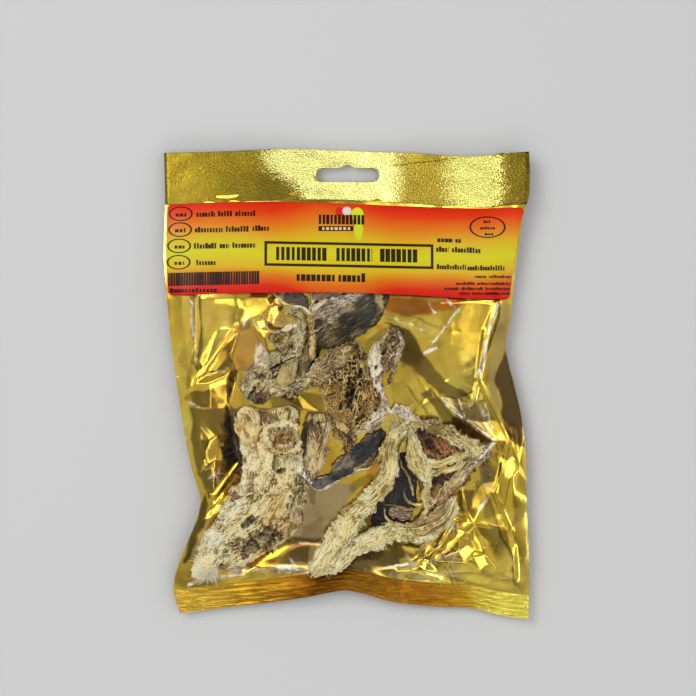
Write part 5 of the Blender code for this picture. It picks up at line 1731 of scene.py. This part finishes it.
    # the ragged grey-brown piece at the upper left
    fish("ragged_piece", "grey", 151, (260, 110, 22), [
        (-49, -8.3, 7.5, 4.13, 3.4), (-45, -1.3, 8.5, 7.78, 4.6), (-38.9, 6.6, 9, 8.02, 5.2),
        (-31.1, 14.3, 9.4, 7.53, 5.2), (-26, 23, 9.2, 5.35, 4.4), (-24.3, 32.7, 8.8, 3.4, 3.6),
        (-23.8, 37.4, 8.4, 1.7, 2.6),
    ], hollows=[
        (-36, 9.4, 10, 0.7, 28, 2.6, 0.9), (-41.8, 4.5, 2.7, 1.1, 20, 2, 0.8),
        (-27.7, 20.3, 2.7, 1, 70, 2, 0.8), (-49.1, -5.4, 2.4, 1, 60, 2.2, 0.9),
        (-45.2, -8.6, 2.9, 1.1, 10, 1.8, 0.8), (-36.7, 4.1, 2.7, 1, 25, 2, 0.8),
    ], stains=[
        (-30.1, 18.2, 3.6, 2.9, 40, 0.5), (-42.3, -0.1, 3.6, 1.9, 20, 0.5),
    ], ragged=(3.4, 2.6), square=2.2, fibre=0.6, furrow=1.3, pores=1, pore_size=2.6, spongy=0.32,
        lumps=2.2, crust=0.4, crack=0.7, tone=0.6, patches=1, broad=0.34, strands=(420, 3, 0.42, 60))
    fish("ragged_lower", "grey", 153, (160, 80, 16), [
        (-44.1, -6.4, 7.5, 3.16, 3), (-37.4, -1.9, 8.5, 5.59, 4.2), (-30.1, 0.9, 9, 6.56, 4.6),
        (-22.8, 2.6, 9, 6.08, 4.4), (-16.5, 5.8, 8.6, 3.65, 3.6),
    ], hollows=[
        (-40.8, -2.5, 2.2, 1, 0, 1.6, 0.7),
    ], ragged=(3, 1.8), square=2.2, fibre=0.6, furrow=1.1, pores=0.9, pore_size=2.4, spongy=0.3, lumps=1.5,
        crust=0.4, tone=0.52, patches=0.9, strands=(180, 2.8, 0.42, 60))
    # Olive flesh that fills the gap beside the bone edge, kept dark (tone 0.2) as painted shade of that gap.
    fish("ragged_link", "olive", 154, (150, 44, 14), [
        (-19.7, 25.5, 8, 0.85, 1.6), (-19.9, 19.9, 8.6, 1.46, 2.4), (-20.9, 13.5, 9.4, 2.43, 3),
        (-22.8, 7.2, 9.6, 3.16, 3), (-23.3, 1.4, 9.2, 2.92, 3), (-22.1, -2.5, 8, 1.22, 1.8),
    ], hollows=[
        (-19.2, 19.4, 2.9, 0.7, 85, 1.4, 0.9), (-19, 9.7, 2.4, 1.1, 60, 1.6, 0.8),
    ], stains=[
        (-21.1, 15.7, 2.7, 1.7, 80, 0.4),
    ], ragged=(2.6, 1.2), fibre=0.3, furrow=0.6, pores=0.4, spongy=0.15, lumps=1, tone=0.2, patches=1)
    fish("ragged_spike", "bright", 157, (110, 48, 12), [
        (-45.2, 22.5, 9.4, 0.49, 1.4), (-44.5, 19.4, 10.4, 1.7, 2.4), (-43.8, 15, 11, 3.16, 3.2),
        (-43, 10.1, 11.2, 4.13, 3.6), (-43.3, 6, 10.6, 3.89, 3),
    ], stains=[
        (-44, 13.3, 3.2, 2.4, 80, 0.3),
    ], ragged=(2.4, 0.8), square=2.2, fibre=0.2, furrow=0.5, pores=0.4, lumps=0.9, crust=0.25, patches=0.8,
        strands=(40, 3, 0.22, 40))
    fish("ragged_curl_1", "olive", 158, (140, 24, 10), [
        (-37.9, 21.3, 13, 0.85, 1.4), (-37.4, 24.2, 14, 1.46, 1.9), (-34, 26.2, 14.6, 1.58, 2.1),
        (-30.9, 24.5, 14.6, 1.58, 2), (-31.4, 21.1, 14, 1.46, 1.9), (-34.8, 19.4, 13.6, 1.46, 1.7),
        (-37.4, 20.6, 12.8, 0.85, 1.2),
    ], like=curl, tone=0.66)
    fish("ragged_white_fold", "bright", 159, (100, 26, 10), [
        (-35.7, 25.5, 14, 0.73, 1.2), (-32.6, 27.6, 15.4, 1.46, 1.8), (-28.7, 29.1, 15.6, 1.58, 1.8),
        (-25.5, 30.8, 15, 0.97, 1.4),
    ], like=curl, fibre=0.2, tone=0.7)
    fish("ragged_knob", "olive", 160, (90, 36, 10), [
        (-31.4, 36.1, 12, 0.97, 1.6), (-28.9, 37, 13.4, 2.19, 2.6), (-26, 36.8, 13.8, 2.43, 2.8),
        (-23.8, 35.4, 13.2, 1.58, 2.2), (-22.8, 34.2, 12.4, 0.73, 1.4),
    ], like=curl, fibre=0.15, crust=0.2, tone=0.8)
    fish("ragged_curl_4", "grey", 161, (120, 20, 10), [
        (-53, 0.9, 11, 0.85, 1.4), (-49.6, 5.8, 12.4, 1.22, 1.7), (-44.2, 8.4, 13.4, 1.22, 1.8),
        (-39.9, 5.8, 13.6, 1.09, 1.6), (-39.1, 0.9, 13, 0.97, 1.4),
    ], like=curl)
    fish("smooth_lump", "olive", 163, (110, 54, 12), [
        (-26, 11.4, 13, 1.22, 1.6), (-28.4, 8, 14, 3.16, 2.6), (-30.6, 4.5, 14.4, 4.01, 2.9),
        (-32.1, 1.1, 14, 3.52, 2.6), (-32.3, -2, 12.6, 1.46, 1.6),
    ], ragged=(3, 0.5), blunt=3, fibre=0.16, fibre_width=2, furrow=0.3, pores=0.25, lumps=0.6, crust=0.2,
        crack=0.15, tone=0.74)

    # the spongy piece in the middle
    fish("sponge_piece", "sponge", 171, (240, 140, 24), [
        (2.9, 21.6, 7.5, 4.37, 3.4), (1.7, 13.9, 8.5, 9.24, 5), (0.5, 4.8, 9.2, 12.88, 6),
        (2.4, -3.7, 9.6, 13.12, 6.3), (4.4, -12.2, 9.2, 10.21, 6), (2.9, -19, 8.5, 6.32, 5),
        (-0.4, -22.9, 7.5, 3.16, 3.6),
    ], hollows=[
        (2.2, -4.9, 11.2, 3.2, 84, 6.5), (-5.8, -0.1, 2.9, 1.6, 40, 3), (7, 6, 2.7, 1.5, 70, 3),
        (-9.7, -14.7, 1.9, 1, 70, 2), (10, -0.1, 3.2, 1.5, 60, 2.6), (-3.4, 8.4, 3.2, 1.5, 30, 2.2),
        (-2.4, -9.8, 3.2, 1.2, 80, 2.6), (-7.5, -5.4, 2.4, 1.3, 20, 2.6), (9.5, -9.8, 2.9, 1.5, 70, 2.6),
        (6.3, -17.1, 2.7, 1.1, 50, 2.2), (-1, 13.3, 2.7, 1.2, 60, 2.4), (-10.2, -0.1, 1.9, 1, 70, 2),
    ], stains=[
        (-5.8, -3.7, 6.1, 4.4, 40, 0.8), (8.7, -12.2, 4.9, 3.2, 60, 0.7), (-1, -14.7, 4.9, 2.4, 40, 0.6),
    ], ragged=(3.4, 2.2), square=2.6, furrow=0.9, pores=2, pore_size=2.3, spongy=0.7, lumps=1.5, crust=0.5,
        tone=0.46, patches=0.8, strands=(620, 3, 0.34, 88))
    fish("sponge_wing", "grey", 177, (150, 76, 16), [
        (-22.8, -0.6, 8, 2.92, 3.4), (-15.6, 3.3, 9, 5.59, 4.6), (-8.3, 9.4, 9.6, 6.08, 5.2),
        (-2.2, 16, 9.4, 5.1, 4.8), (2.7, 20.3, 9, 2.92, 3.6),
    ], ragged=(3.4, 1.6), furrow=0.9, pores=1, spongy=0.3, lumps=1.1, tone=0.36, patches=0.6,
        strands=(190, 3.2, 0.4, 45))
    fish("sponge_arch", "tan", 179, (120, 20, 10), [
        (-5.3, 12.1, 13, 0.85, 1.4), (-3.2, 18.2, 14, 1.09, 1.7), (1.9, 21.6, 14.3, 1.22, 1.8),
        (6.8, 19.9, 14, 1.09, 1.6), (8.3, 15.7, 13.4, 0.85, 1.3),
    ], like=curl)
    fish("sponge_lobe", "straw", 180, (120, 36, 12), [
        (-10.5, -8.3, 9, 0.97, 2), (-7.1, -12.8, 10, 2.19, 2.8), (-3.6, -17.7, 10.4, 2.67, 3),
        (-0.7, -22.5, 9.6, 1.94, 2.6), (1, -25.1, 8.6, 0.97, 1.6),
    ], ragged=(3, 1.2), pores=0.6, spongy=0.2, lumps=0.7, strands=(90, 4, 0.24, 30))
    fish("sponge_tail", "sponge", 172, (120, 60, 14), [
        (-4.4, -19, 7.5, 3.4, 3), (-1.5, -24.4, 8, 5.35, 3.6), (0.7, -29.7, 7.6, 3.89, 3),
        (2.2, -35.1, 6.8, 1.46, 2),
    ], hollows=[
        (0.5, -24.4, 1.7, 1, 60, 1.6), (2.7, -29.2, 1.5, 0.7, 70, 1.4),
    ], ragged=(2.6, 1.6), pores=1.2, spongy=0.4, lumps=1, crust=0.4, tone=0.4, patches=0.8,
        strands=(110, 3, 0.3, 70))
    fish("sponge_horn", "tan", 181, (135, 62, 14), [
        (14.3, 5.8, 9, 2.92, 3.4), (18, 12.6, 9.6, 5.35, 4.2), (21.6, 18.6, 9.8, 5.83, 4.2),
        (24.3, 24.2, 9.4, 4.86, 4), (26.7, 29.3, 8.8, 2.43, 3),
    ], hollows=[
        (19.1, 16.7, 3.2, 1.2, 50, 2.2), (23.1, 23, 2.4, 1.1, 60, 2),
    ], ragged=(2.6, 2), furrow=1, pores=1.2, spongy=0.45, lumps=1.2, crust=0.5, tone=0.42, patches=0.7,
        strands=(210, 2.6, 0.4, 80))
    fish("horn_edge", "white", 183, (150, 16, 8), [
        (26.7, 27.2, 12, 0.49, 0.8), (28.4, 22.5, 12.2, 0.61, 0.9), (27.5, 16.7, 12.2, 0.73, 1),
        (25.5, 12.1, 12, 0.73, 1), (24.1, 6.3, 11.4, 0.61, 0.9), (22.8, -0.6, 10.6, 0.49, 0.8),
    ], ragged=(1.4, 1), fibre=0.2, furrow=0.2, pores=0.3, spongy=0.2, lumps=0.6, crack=0.3, tone=0.4)
    fish("white_membrane", "bright", 187, (190, 44, 10), [
        (15.6, 21.8, 14.4, 0.36, 1), (14.8, 18.4, 15.6, 1.94, 1.6), (14.3, 14.5, 16.2, 3.4, 1.9),
        (14.3, 11.4, 16.3, 3.89, 1.9), (16, 6.7, 16.2, 3.28, 1.9), (16.5, 0.9, 15.9, 3.04, 1.8),
        (18.2, -4.7, 15.2, 2.43, 1.7), (20.2, -10, 14.4, 1.58, 1.5), (22.8, -14.4, 14, 1.09, 1.3),
        (26.7, -16.1, 14, 0.73, 1),
    ], hollows=[
        (15.3, 8.9, 1.7, 1, 80, 1.8), (18.5, 5.8, 1.5, 1, 60, 1.6), (15.1, 1.6, 1.9, 0.9, 80, 1.4),
        (18.5, -0.1, 1.6, 0.9, 60, 1.2), (16.5, -4.9, 1.7, 0.7, 70, 1.2),
    ], stains=[
        (16.5, 2.4, 3.6, 2.9, 80, 0.35),
    ], fibre=0.14, furrow=0.35, pores=0.7, spongy=0.12, lumps=0.7, crust=0.2, crack=0.6, tone=0.72,
        patches=0.9, strands=(70, 3.5, 0.2, 60))
    fish("grey_fold", "white", 189, (150, 40, 12), [
        (16.5, -3.7, 13.4, 1.22, 1.6), (19.1, -8.6, 13, 2.19, 2), (18.5, -14.7, 12.2, 2.43, 2),
        (14.8, -19, 11.4, 3.4, 2.2), (9.2, -21.9, 10.6, 3.4, 2.2), (3.6, -25.1, 9.4, 1.94, 1.6),
    ], ragged=(3, 1.2), fibre=0.4, pores=0.6, spongy=0.2, lumps=0.9, tone=0.46, patches=1.1)

    # the strip of blue-black skin
    fish("black_skin", "black", 191, (190, 60, 12), [
        (19.2, -24.1, 7.5, 1.46, 1.6), (15.8, -28.3, 7.6, 4.13, 2), (10, -34.8, 7.6, 5.59, 2.1),
        (3.2, -40.4, 7.4, 4.98, 2), (-3.2, -44.8, 7, 3.16, 1.8), (-7.8, -48.2, 6.6, 1.94, 1.5),
    ], ragged=(4, 0.8), fibre=0.35, fibre_width=0.9, furrow=0.5, pores=0.2, spongy=0, crust=0.25,
        crack=0.2, tone=0.34, rim=0.5, patches=1.5, strands=(150, 5, 0.2, 12))
    fish("black_skin_rim", "grey", 190, (130, 20, 8), [
        (16.5, -32.1, 8.2, 0.49, 0.9), (14.3, -37, 8.8, 1.09, 1.2), (10.7, -41.1, 9, 1.46, 1.2),
        (5.8, -42.8, 8.8, 1.09, 1.1), (1.5, -45, 8, 0.61, 0.8),
    ], ragged=(2, 1.2), fibre=0.3, pores=0.5, spongy=0.2, lumps=0.5, tone=0.3, patches=1)
    fish("black_skin_tail", "film_skin", 192, (140, 40, 10), [
        (-2.9, -45.3, 6.6, 1.94, 0.9), (-7.3, -48.7, 7, 2.79, 1.1), (-12.4, -51.1, 7.2, 3.28, 1.2),
        (-17.3, -51.3, 7.2, 2.43, 1.1), (-20.7, -48.7, 7.2, 1.09, 1), (-25, -42.1, 7.4, 0.36, 0.9),
    ], hollows=[
        (-17.3, -50.1, 1.5, 0.6, 40, 0.8, 0.7), (-13.1, -50.9, 1.2, 0.5, 80, 0.6, 0.6),
    ], ragged=(4, 0.7), fibre=0.3, fibre_width=1.4, furrow=0.6, pores=0.3, crust=0.2, crack=0.4, rim=0.6,
        patches=1.5)
    fish("skin_gold_rim", "grey", 194, (60, 16, 8), [
        (0.5, -35.3, 7.6, 0.49, 1.2), (-3.9, -39.2, 7.6, 0.73, 1.4), (-7.1, -42.8, 7.4, 0.61, 1.2),
    ], ragged=(2, 0.6), fibre=0.3, furrow=0.1, spongy=0.5, lumps=1.2, tone=0.4)
    fish("black_skin_edge", "bright", 193, (240, 14, 8), [
        (17.3, -34.6, 8.6, 0.24, 0.6), (15.3, -38.7, 9, 0.32, 0.7), (10.9, -43.6, 9, 0.36, 0.7),
        (7, -43.9, 9, 0.32, 0.7), (1.6, -46.7, 8.6, 0.36, 0.7), (-3.8, -49.2, 8.2, 0.36, 0.7),
        (-10.3, -53.1, 8, 0.44, 0.8), (-13.9, -54.8, 7.8, 0.44, 0.8), (-17.3, -53.3, 7.8, 0.36, 0.7),
        (-21.1, -48.9, 7.8, 0.32, 0.6), (-25.3, -41.9, 7.8, 0.24, 0.6),
    ], ragged=(3, 0.4), fibre=0.15, furrow=0.1, pores=0.1, spongy=0, lumps=0.3, crust=0.2)

    # the forked collar at the lower right
    fish("collar_outer", "cream", 201, (240, 58, 16), [
        (31.2, -22.2, 14, 1.94, 2.2), (25.5, -25.8, 15, 3.16, 3), (22.1, -32.6, 15.5, 3.77, 3.6),
        (22.1, -40.8, 15.5, 4.01, 3.8), (20.4, -48.1, 15.2, 4.13, 3.8), (16, -55, 15, 4.62, 3.8),
        (10.9, -58.9, 14.5, 4.13, 3.4), (6.3, -60.1, 13.6, 2.67, 2.6),
    ], like=collar, strands=(260, 3.2, 0.42, 22))
    fish("collar_blade", "blade", 203, (250, 76, 18), [
        (14.6, -56.9, 11, 3.4, 3), (9.5, -61.8, 11.5, 5.59, 4), (4.6, -67.1, 11.5, 6.08, 4.4),
        (-0.2, -74.2, 11.3, 6.81, 4.6), (-5.1, -81.5, 11, 7.05, 4.6), (-10.2, -88.8, 10.2, 6.56, 4.2),
        (-14.6, -94.4, 9.4, 4.86, 3.6), (-17.5, -97.5, 8.6, 2.67, 2.6),
    ], like=collar, strands=(400, 3.4, 0.45, 28))
    fish("collar_top", "cream", 207, (260, 52, 16), [
        (26.4, -22.9, 14, 1.46, 2), (33.1, -19.8, 14.4, 2.67, 2.8), (42.2, -21.2, 14.6, 3.28, 3.2),
        (51.9, -24.6, 14.4, 3.52, 3.2), (59.3, -29.2, 13.8, 3.16, 3), (66.6, -33.1, 13.2, 3.89, 3.2),
        (71.7, -35.3, 12.4, 2.43, 2.4),
    ], like=collar, ragged=(1.5, 1.8), pores=0.9, spongy=0.4, crust=0.45, strands=(420, 2.6, 0.42, 70))
    fish("apex_wisps", "bright", 209, (110, 34, 10), [
        (22.7, -14.7, 13, 0.97, 1.2), (26, -13.2, 13.6, 1.94, 1.5), (30.6, -14.7, 14.2, 2.92, 1.7),
        (34.3, -17.7, 14.6, 2.19, 1.6), (36.5, -21, 14.6, 0.97, 1.2),
    ], ragged=(1.6, 1.8), fibre=0.4, furrow=0.4, spongy=0.4, crust=0.5, crack=0.6, tone=0.55,
        strands=(110, 3, 0.3, 70))

    # the web between the collar's arms
    fish("web_base", "amber", 211, (130, 80, 16), [
        (35.5, -23.2, 8, 5.1, 3), (46.4, -30.4, 8, 10.21, 3.5), (51, -39.9, 8, 12.64, 3.5),
        (47.9, -50.9, 8, 9.72, 3.5), (45.9, -60.8, 7.5, 5.1, 3),
    ], hollows=[
        (44.2, -31.9, 6.1, 3.2, -35, 3.4), (48.8, -49.3, 4.9, 3.2, 20, 3), (44, -41.4, 2.4, 1.1, 10, 2),
    ], ragged=(5, 1.6), spongy=0.3, lumps=1.4, crack=0.3, tone=0.55)
    fish("web_strand_1", "cream", 213, (140, 50, 12), [
        (32.1, -22.5, 13.5, 1.82, 1.8), (34.3, -30.4, 12.8, 3.16, 2.2), (35.5, -36.5, 12.4, 4.86, 2.6),
        (38.2, -42.8, 12.2, 4.86, 2.6), (41.6, -47.5, 12, 2.67, 2.2),
    ], like=web, strands=(110, 3.6, 0.3, 16))
    fish("web_strand_2", "cream", 217, (140, 36, 12), [
        (39.7, -39.9, 12.4, 2.67, 2), (47, -40.9, 12.8, 1.82, 1.8), (54.9, -38.5, 12.8, 1.7, 1.7),
        (62.5, -35.3, 12.6, 1.82, 1.8),
    ], like=web)
    fish("web_strand_2b", "cream", 218, (130, 28, 12), [
        (41.6, -47.5, 12.2, 1.7, 1.7), (47.6, -44.1, 12.6, 1.22, 1.5), (54.9, -42.8, 12.6, 1.09, 1.4),
        (59.8, -39.2, 12.4, 1.22, 1.5),
    ], like=web)
    fish("web_strand_3", "cream", 219, (140, 44, 12), [
        (39.7, -45, 12.2, 3.16, 2.2), (41.8, -51.1, 12, 2.19, 2), (40.8, -56.9, 11.6, 2.92, 2.2),
        (43.7, -62.7, 11.6, 4.37, 2.4),
    ], like=web, strands=(80, 3.2, 0.3, 25))
    fish("web_rim", "tan", 223, (160, 48, 12), [
        (45.2, -61.6, 11, 3.16, 2.4), (52.5, -53.3, 11.6, 3.4, 2.4), (58.8, -46.2, 12, 3.28, 2.4),
        (64.9, -40.2, 12.4, 2.92, 2.2), (70.7, -35.8, 12, 1.94, 1.8),
    ], like=web, ragged=(3, 1.4), tone=0.5, strands=(190, 2.6, 0.36, 60))
    fish("dark_underlay", "black", 227, (90, 50, 10), [
        (30.6, -35.3, 5.5, 2.92, 1.6), (30.4, -46.2, 6, 6.32, 2), (27.2, -56.9, 6, 8.99, 2),
        (22.4, -68.1, 5.6, 9.48, 2), (15.1, -75.4, 5, 5.1, 1.5),
    ], like=web, fibre=0.2, tone=0.22)
    fish("ribbon_1", "cream", 229, (220, 14, 8), [
        (30.6, -27.4, 12.4, 0.36, 1.2), (27.2, -34.3, 12.4, 0.49, 1.4), (28.2, -41.6, 12.4, 0.61, 1.5),
        (31.6, -46.5, 12.4, 0.61, 1.6), (33.5, -52.6, 12, 0.61, 1.5), (34.3, -56.9, 11.6, 0.49, 1.2),
    ], like=ribbon)
    fish("ribbon_2", "cream", 231, (200, 14, 8), [
        (19.2, -63.9, 11, 0.73, 2), (20.3, -68.4, 11.4, 0.73, 2.2), (25.5, -72, 11.8, 0.73, 2.4),
        (32.4, -71.8, 12.2, 0.73, 2.4), (37.9, -68.8, 12.2, 0.73, 2.2), (41.8, -64.5, 12, 0.97, 2),
    ], like=ribbon)
    fish("ribbon_3", "cream", 233, (140, 14, 8), [
        (19.7, -61.8, 11, 0.61, 1.8), (24.5, -62, 11.6, 0.61, 2), (31.2, -63.9, 12.2, 0.61, 2),
        (37.3, -64.5, 12, 0.73, 2),
    ], like=ribbon)
    fish("ribbon_4", "cream", 234, (120, 12, 8), [
        (29.4, -54.5, 12, 0.36, 1.6), (30.6, -58.4, 12.2, 0.49, 1.8), (34.3, -61.4, 12.2, 0.49, 1.8),
        (39.1, -61.4, 12, 0.49, 1.6),
    ], like=ribbon)
    fish("web_grey_fold", "white", 235, (80, 30, 10), [
        (22.1, -65.1, 9, 2.19, 1.6), (27.9, -66.7, 9.5, 2.92, 1.8), (34.3, -65.7, 9.5, 2.43, 1.6),
    ], like=web, tone=0.25)

    # the collar's lower arm
    fish("collar_lower", "cream", 237, (340, 64, 18), [
        (54.9, -56.9, 10.5, 1.7, 2.6), (53, -63.5, 11.4, 4.13, 3.4), (47.9, -69.6, 11.8, 5.35, 4),
        (41.3, -74, 11.6, 4.86, 4), (32.1, -75.7, 11.4, 4.62, 4), (23.6, -75.2, 11.2, 4.37, 3.8),
        (16, -78.6, 10.8, 6.08, 4), (9, -81.2, 10.4, 5.1, 4), (2.4, -85.4, 10, 4.62, 3.8),
        (-3.9, -91.5, 9.4, 4.86, 3.4), (-9.7, -96.3, 8.6, 3.4, 2.8),
    ], like=collar, ragged=(2, 1.5), lumps=0.8, tone=0.78, strands=(470, 3.2, 0.44, 32))
    fish("lower_ridge_1", "cream", 239, (170, 16, 8), [
        (56.1, -59.6, 13.6, 0.61, 1.4), (53.5, -66.9, 14.8, 0.73, 1.6), (47.6, -73, 15, 0.85, 1.7),
        (40.3, -76.6, 14.6, 0.73, 1.6), (31.8, -77.8, 13.8, 0.61, 1.3),
    ], like=ribbon)
    fish("lower_ridge_2", "tan", 241, (170, 16, 8), [
        (51.3, -59.6, 13.8, 0.73, 1.4), (48.8, -64.5, 14.8, 0.97, 1.6), (43.4, -68.8, 15, 0.97, 1.7),
        (36.7, -71.8, 14.8, 0.85, 1.6), (29.4, -72.5, 14, 0.61, 1.3),
    ], like=ribbon)
    fish("lower_spur", "straw", 243, (90, 22, 10), [
        (41.6, -77.8, 11, 0.97, 1.6), (39.7, -82.7, 10, 1.46, 2), (37.9, -86.3, 8.6, 0.97, 1.6),
        (36.7, -89.4, 7.4, 0.49, 1),
    ], like=web)
    return pieces


# Tufts of threads: name, shade, middle, heading and spread in degrees, count, length, half width,
# seed, half sizes of the patch they start from, and curl.
TUFTS = [
    ("tail_fluff", "fluff", (-72, -93.2, 7.2), 250, 80, 520, 3.2, 0.2, 301, (4.6, 6.0, 2.2), 1.5),
    ("tail_fluff_fine", "fluff", (-70.5, -90, 9), 245, 150, 360, 2.6, 0.16, 302, (4.6, 6.4, 2.2), 1.4),
    ("tail_wisps", "fluff", (-75, -98, 5), 245, 60, 16, 3.6, 0.13, 304, (4, 2.5, 1.2), 0.8),
    ("fillet_fuzz", "thread", (-60, -82, 12), 150, 300, 160, 4, 0.10, 303, (9, 8, 3), 0.8),
    ("collar_fuzz", "thread", (66, -34, 13), 60, 360, 160, 3.4, 0.10, 305, (8, 3.5, 2), 0.8),
    ("apex_fibres", "thread", (28, -22.5, 15), 40, 220, 120, 5.5, 0.14, 307, (6, 3, 1.5), 0.5),
    ("lower_fibres", "thread", (50, -70, 12), 285, 150, 60, 6, 0.13, 309, (7, 4, 2), 0.6),
    ("twigs", "twig", (46, -90, 4.0), 330, 120, 13, 13, 0.20, 311, (12, 5, 1.2), 0.35),
    ("pale_twigs", "thread", (42, -90, 4.4), 330, 200, 16, 10, 0.15, 312, (14, 6, 1.2), 0.6),
    ("loose_threads_left", "thread", (-68, -47, 9), 20, 300, 7, 4.5, 0.12, 313, (2.5, 1.5, 1.5), 0.9),
    ("loose_threads_top", "thread", (-38, 38, 8), 330, 120, 26, 8, 0.13, 317, (6, 6, 1.5), 0.8),
    ("sponge_fibres", "lace", (-5.2, -4, 15), 300, 360, 110, 3.4, 0.17, 319, (4.4, 5, 2), 0.9),
    ("sponge_fibres_right", "lace", (9.6, -7.5, 15), 300, 360, 110, 3.4, 0.17, 321, (3.2, 8, 2), 0.9),
]
THREAD_GAP = 0.3  # mm that threads stay off the foil and the film


def make_threads(room):
    """Loose fibres and thin bones that lie among the pieces."""
    shades = {
        "thread": make_thread_material("pale threads", (246, 238, 206), (176, 154, 104)),
        "twig": make_thread_material("dark twigs", (96, 74, 46), (34, 24, 16)),
        "fluff": make_thread_material("cream fluff", (255, 252, 232), (232, 220, 184)),
        "lace": make_thread_material("yellow lace", (214, 172, 84), (150, 108, 44)),
    }
    for name, shade, *fan in TUFTS:
        tuft(name, shades[shade], room, *fan)


# ---------------------------------------------------------------- floor, light and camera, in metres
FLOOR_REACH, FLOOR_DROP = 4.0, 0.0004
CAMERA_HEIGHT = 1.2
VIEW_WIDTH = 0.3584  # of the photo's frame, at the bag's middle height
VIEW_CENTRE = (0.0008, 0.0187)
BAG_MIDDLE = 0.008
# Softboxes: place, the point they face, width, height and power.
LAMPS = {
    "key_softbox": ((-0.9, 0.75, 1.2), (0, 0, 0), 1.0, 0.8, 9.2),
    "left_strip_light": ((-1.0, 0.0, 1.15), (0, 0, 0), 0.25, 1.0, 0.9),
    "right_softbox": ((1.15, 0.1, 0.9), (0, 0, 0), 0.5, 1.0, 3.1),
    "foot_softbox": ((0.1, -1.1, 0.7), (0, -0.05, 0), 1.2, 0.3, 2.8),
    "header_strip_light": ((0.02, 0.30, 1.3), (0, 0.1, 0), 0.9, 0.10, 0.86),
    "spark_strip_left": ((-0.48, 0.2, 1.2), (0, 0, 0), 0.03, 0.45, 0.8),
    "spark_strip_right": ((0.40, -0.2, 1.2), (0, 0, 0), 0.5, 0.03, 0.7),
}


def make_stage():
    """A pale floor just below the bag."""
    mesh = bpy.data.meshes.new("floor")
    around = ((-1, -1), (1, -1), (1, 1), (-1, 1))
    corners = [(x * FLOOR_REACH, y * FLOOR_REACH, -FLOOR_DROP) for x, y in around]
    mesh.from_pydata(corners, [], [(0, 1, 2, 3)])
    made, tree = new_material("pale floor")
    principled(tree, base_color=(0.622, 0.622, 0.622, 1), roughness=0.95)
    mesh.materials.append(made)
    floor = bpy.data.objects.new("floor", mesh)
    bpy.context.scene.collection.objects.link(floor)


def make_world():
    """A grey room with paler and darker walls for the film to mirror, and an even grey behind the bag."""
    world = bpy.data.worlds.new("studio")
    world.use_nodes = True
    tree = world.node_tree
    tree.nodes.clear()
    patch = texture("TexNoise", add_node(tree, "TexCoord")["Generated"], 2.4, detail=1.0)[0]
    room = steps(patch, (0.38, (0.09, 0.09, 0.09)), (0.47, (0.40, 0.40, 0.40)), (0.62, (0.68, 0.68, 0.68)))
    shown = blend(add_node(tree, "LightPath")["Is Camera Ray"], room, (0.60, 0.60, 0.60, 1))
    sky = add_node(tree, "Background", {"Color": shown, "Strength": 1.0})
    surface_of(tree, sky, "ShaderNodeOutputWorld")
    bpy.context.scene.world = world


def add_lamp(name, place, aim, width, height, power):
    """A rectangular softbox that faces a point."""
    data = bpy.data.lights.new(name, "AREA")
    data.shape, data.size, data.size_y, data.energy = "RECTANGLE", width, height, power
    lamp = bpy.data.objects.new(name, data)
    lamp.location = place
    lamp.rotation_euler = (Vector(aim) - Vector(place)).to_track_quat("-Z", "Y").to_euler()
    lamp.visible_camera = False
    bpy.context.scene.collection.objects.link(lamp)


def make_camera():
    """The photo's view, from straight above the bag."""
    data = bpy.data.cameras.new("photo_camera")
    half = VIEW_WIDTH / 2 / (CAMERA_HEIGHT - BAG_MIDDLE)
    data.lens = data.sensor_width / 2 / half
    camera = bpy.data.objects.new("photo_camera", data)
    camera.location = (*VIEW_CENTRE, CAMERA_HEIGHT)
    bpy.context.scene.collection.objects.link(camera)
    bpy.context.scene.camera = camera


def main():
    """The floor and lights, then the fish, then the sheets that are draped under and over it."""
    bpy.context.scene.view_settings.view_transform = "Standard"
    make_stage()
    make_world()
    for name, settings in LAMPS.items():
        add_lamp(name, *settings)
    make_camera()
    tops = highest_over_grid(make_fish_pieces(), *FILM_GRID)
    make_foil()
    x, y, height = film_heights(tops)
    make_film(x, y, height)
    make_threads((foil_top(x, y) + THREAD_GAP, height - THREAD_GAP))
    make_label(height)
    make_header()
    make_seal()


main()
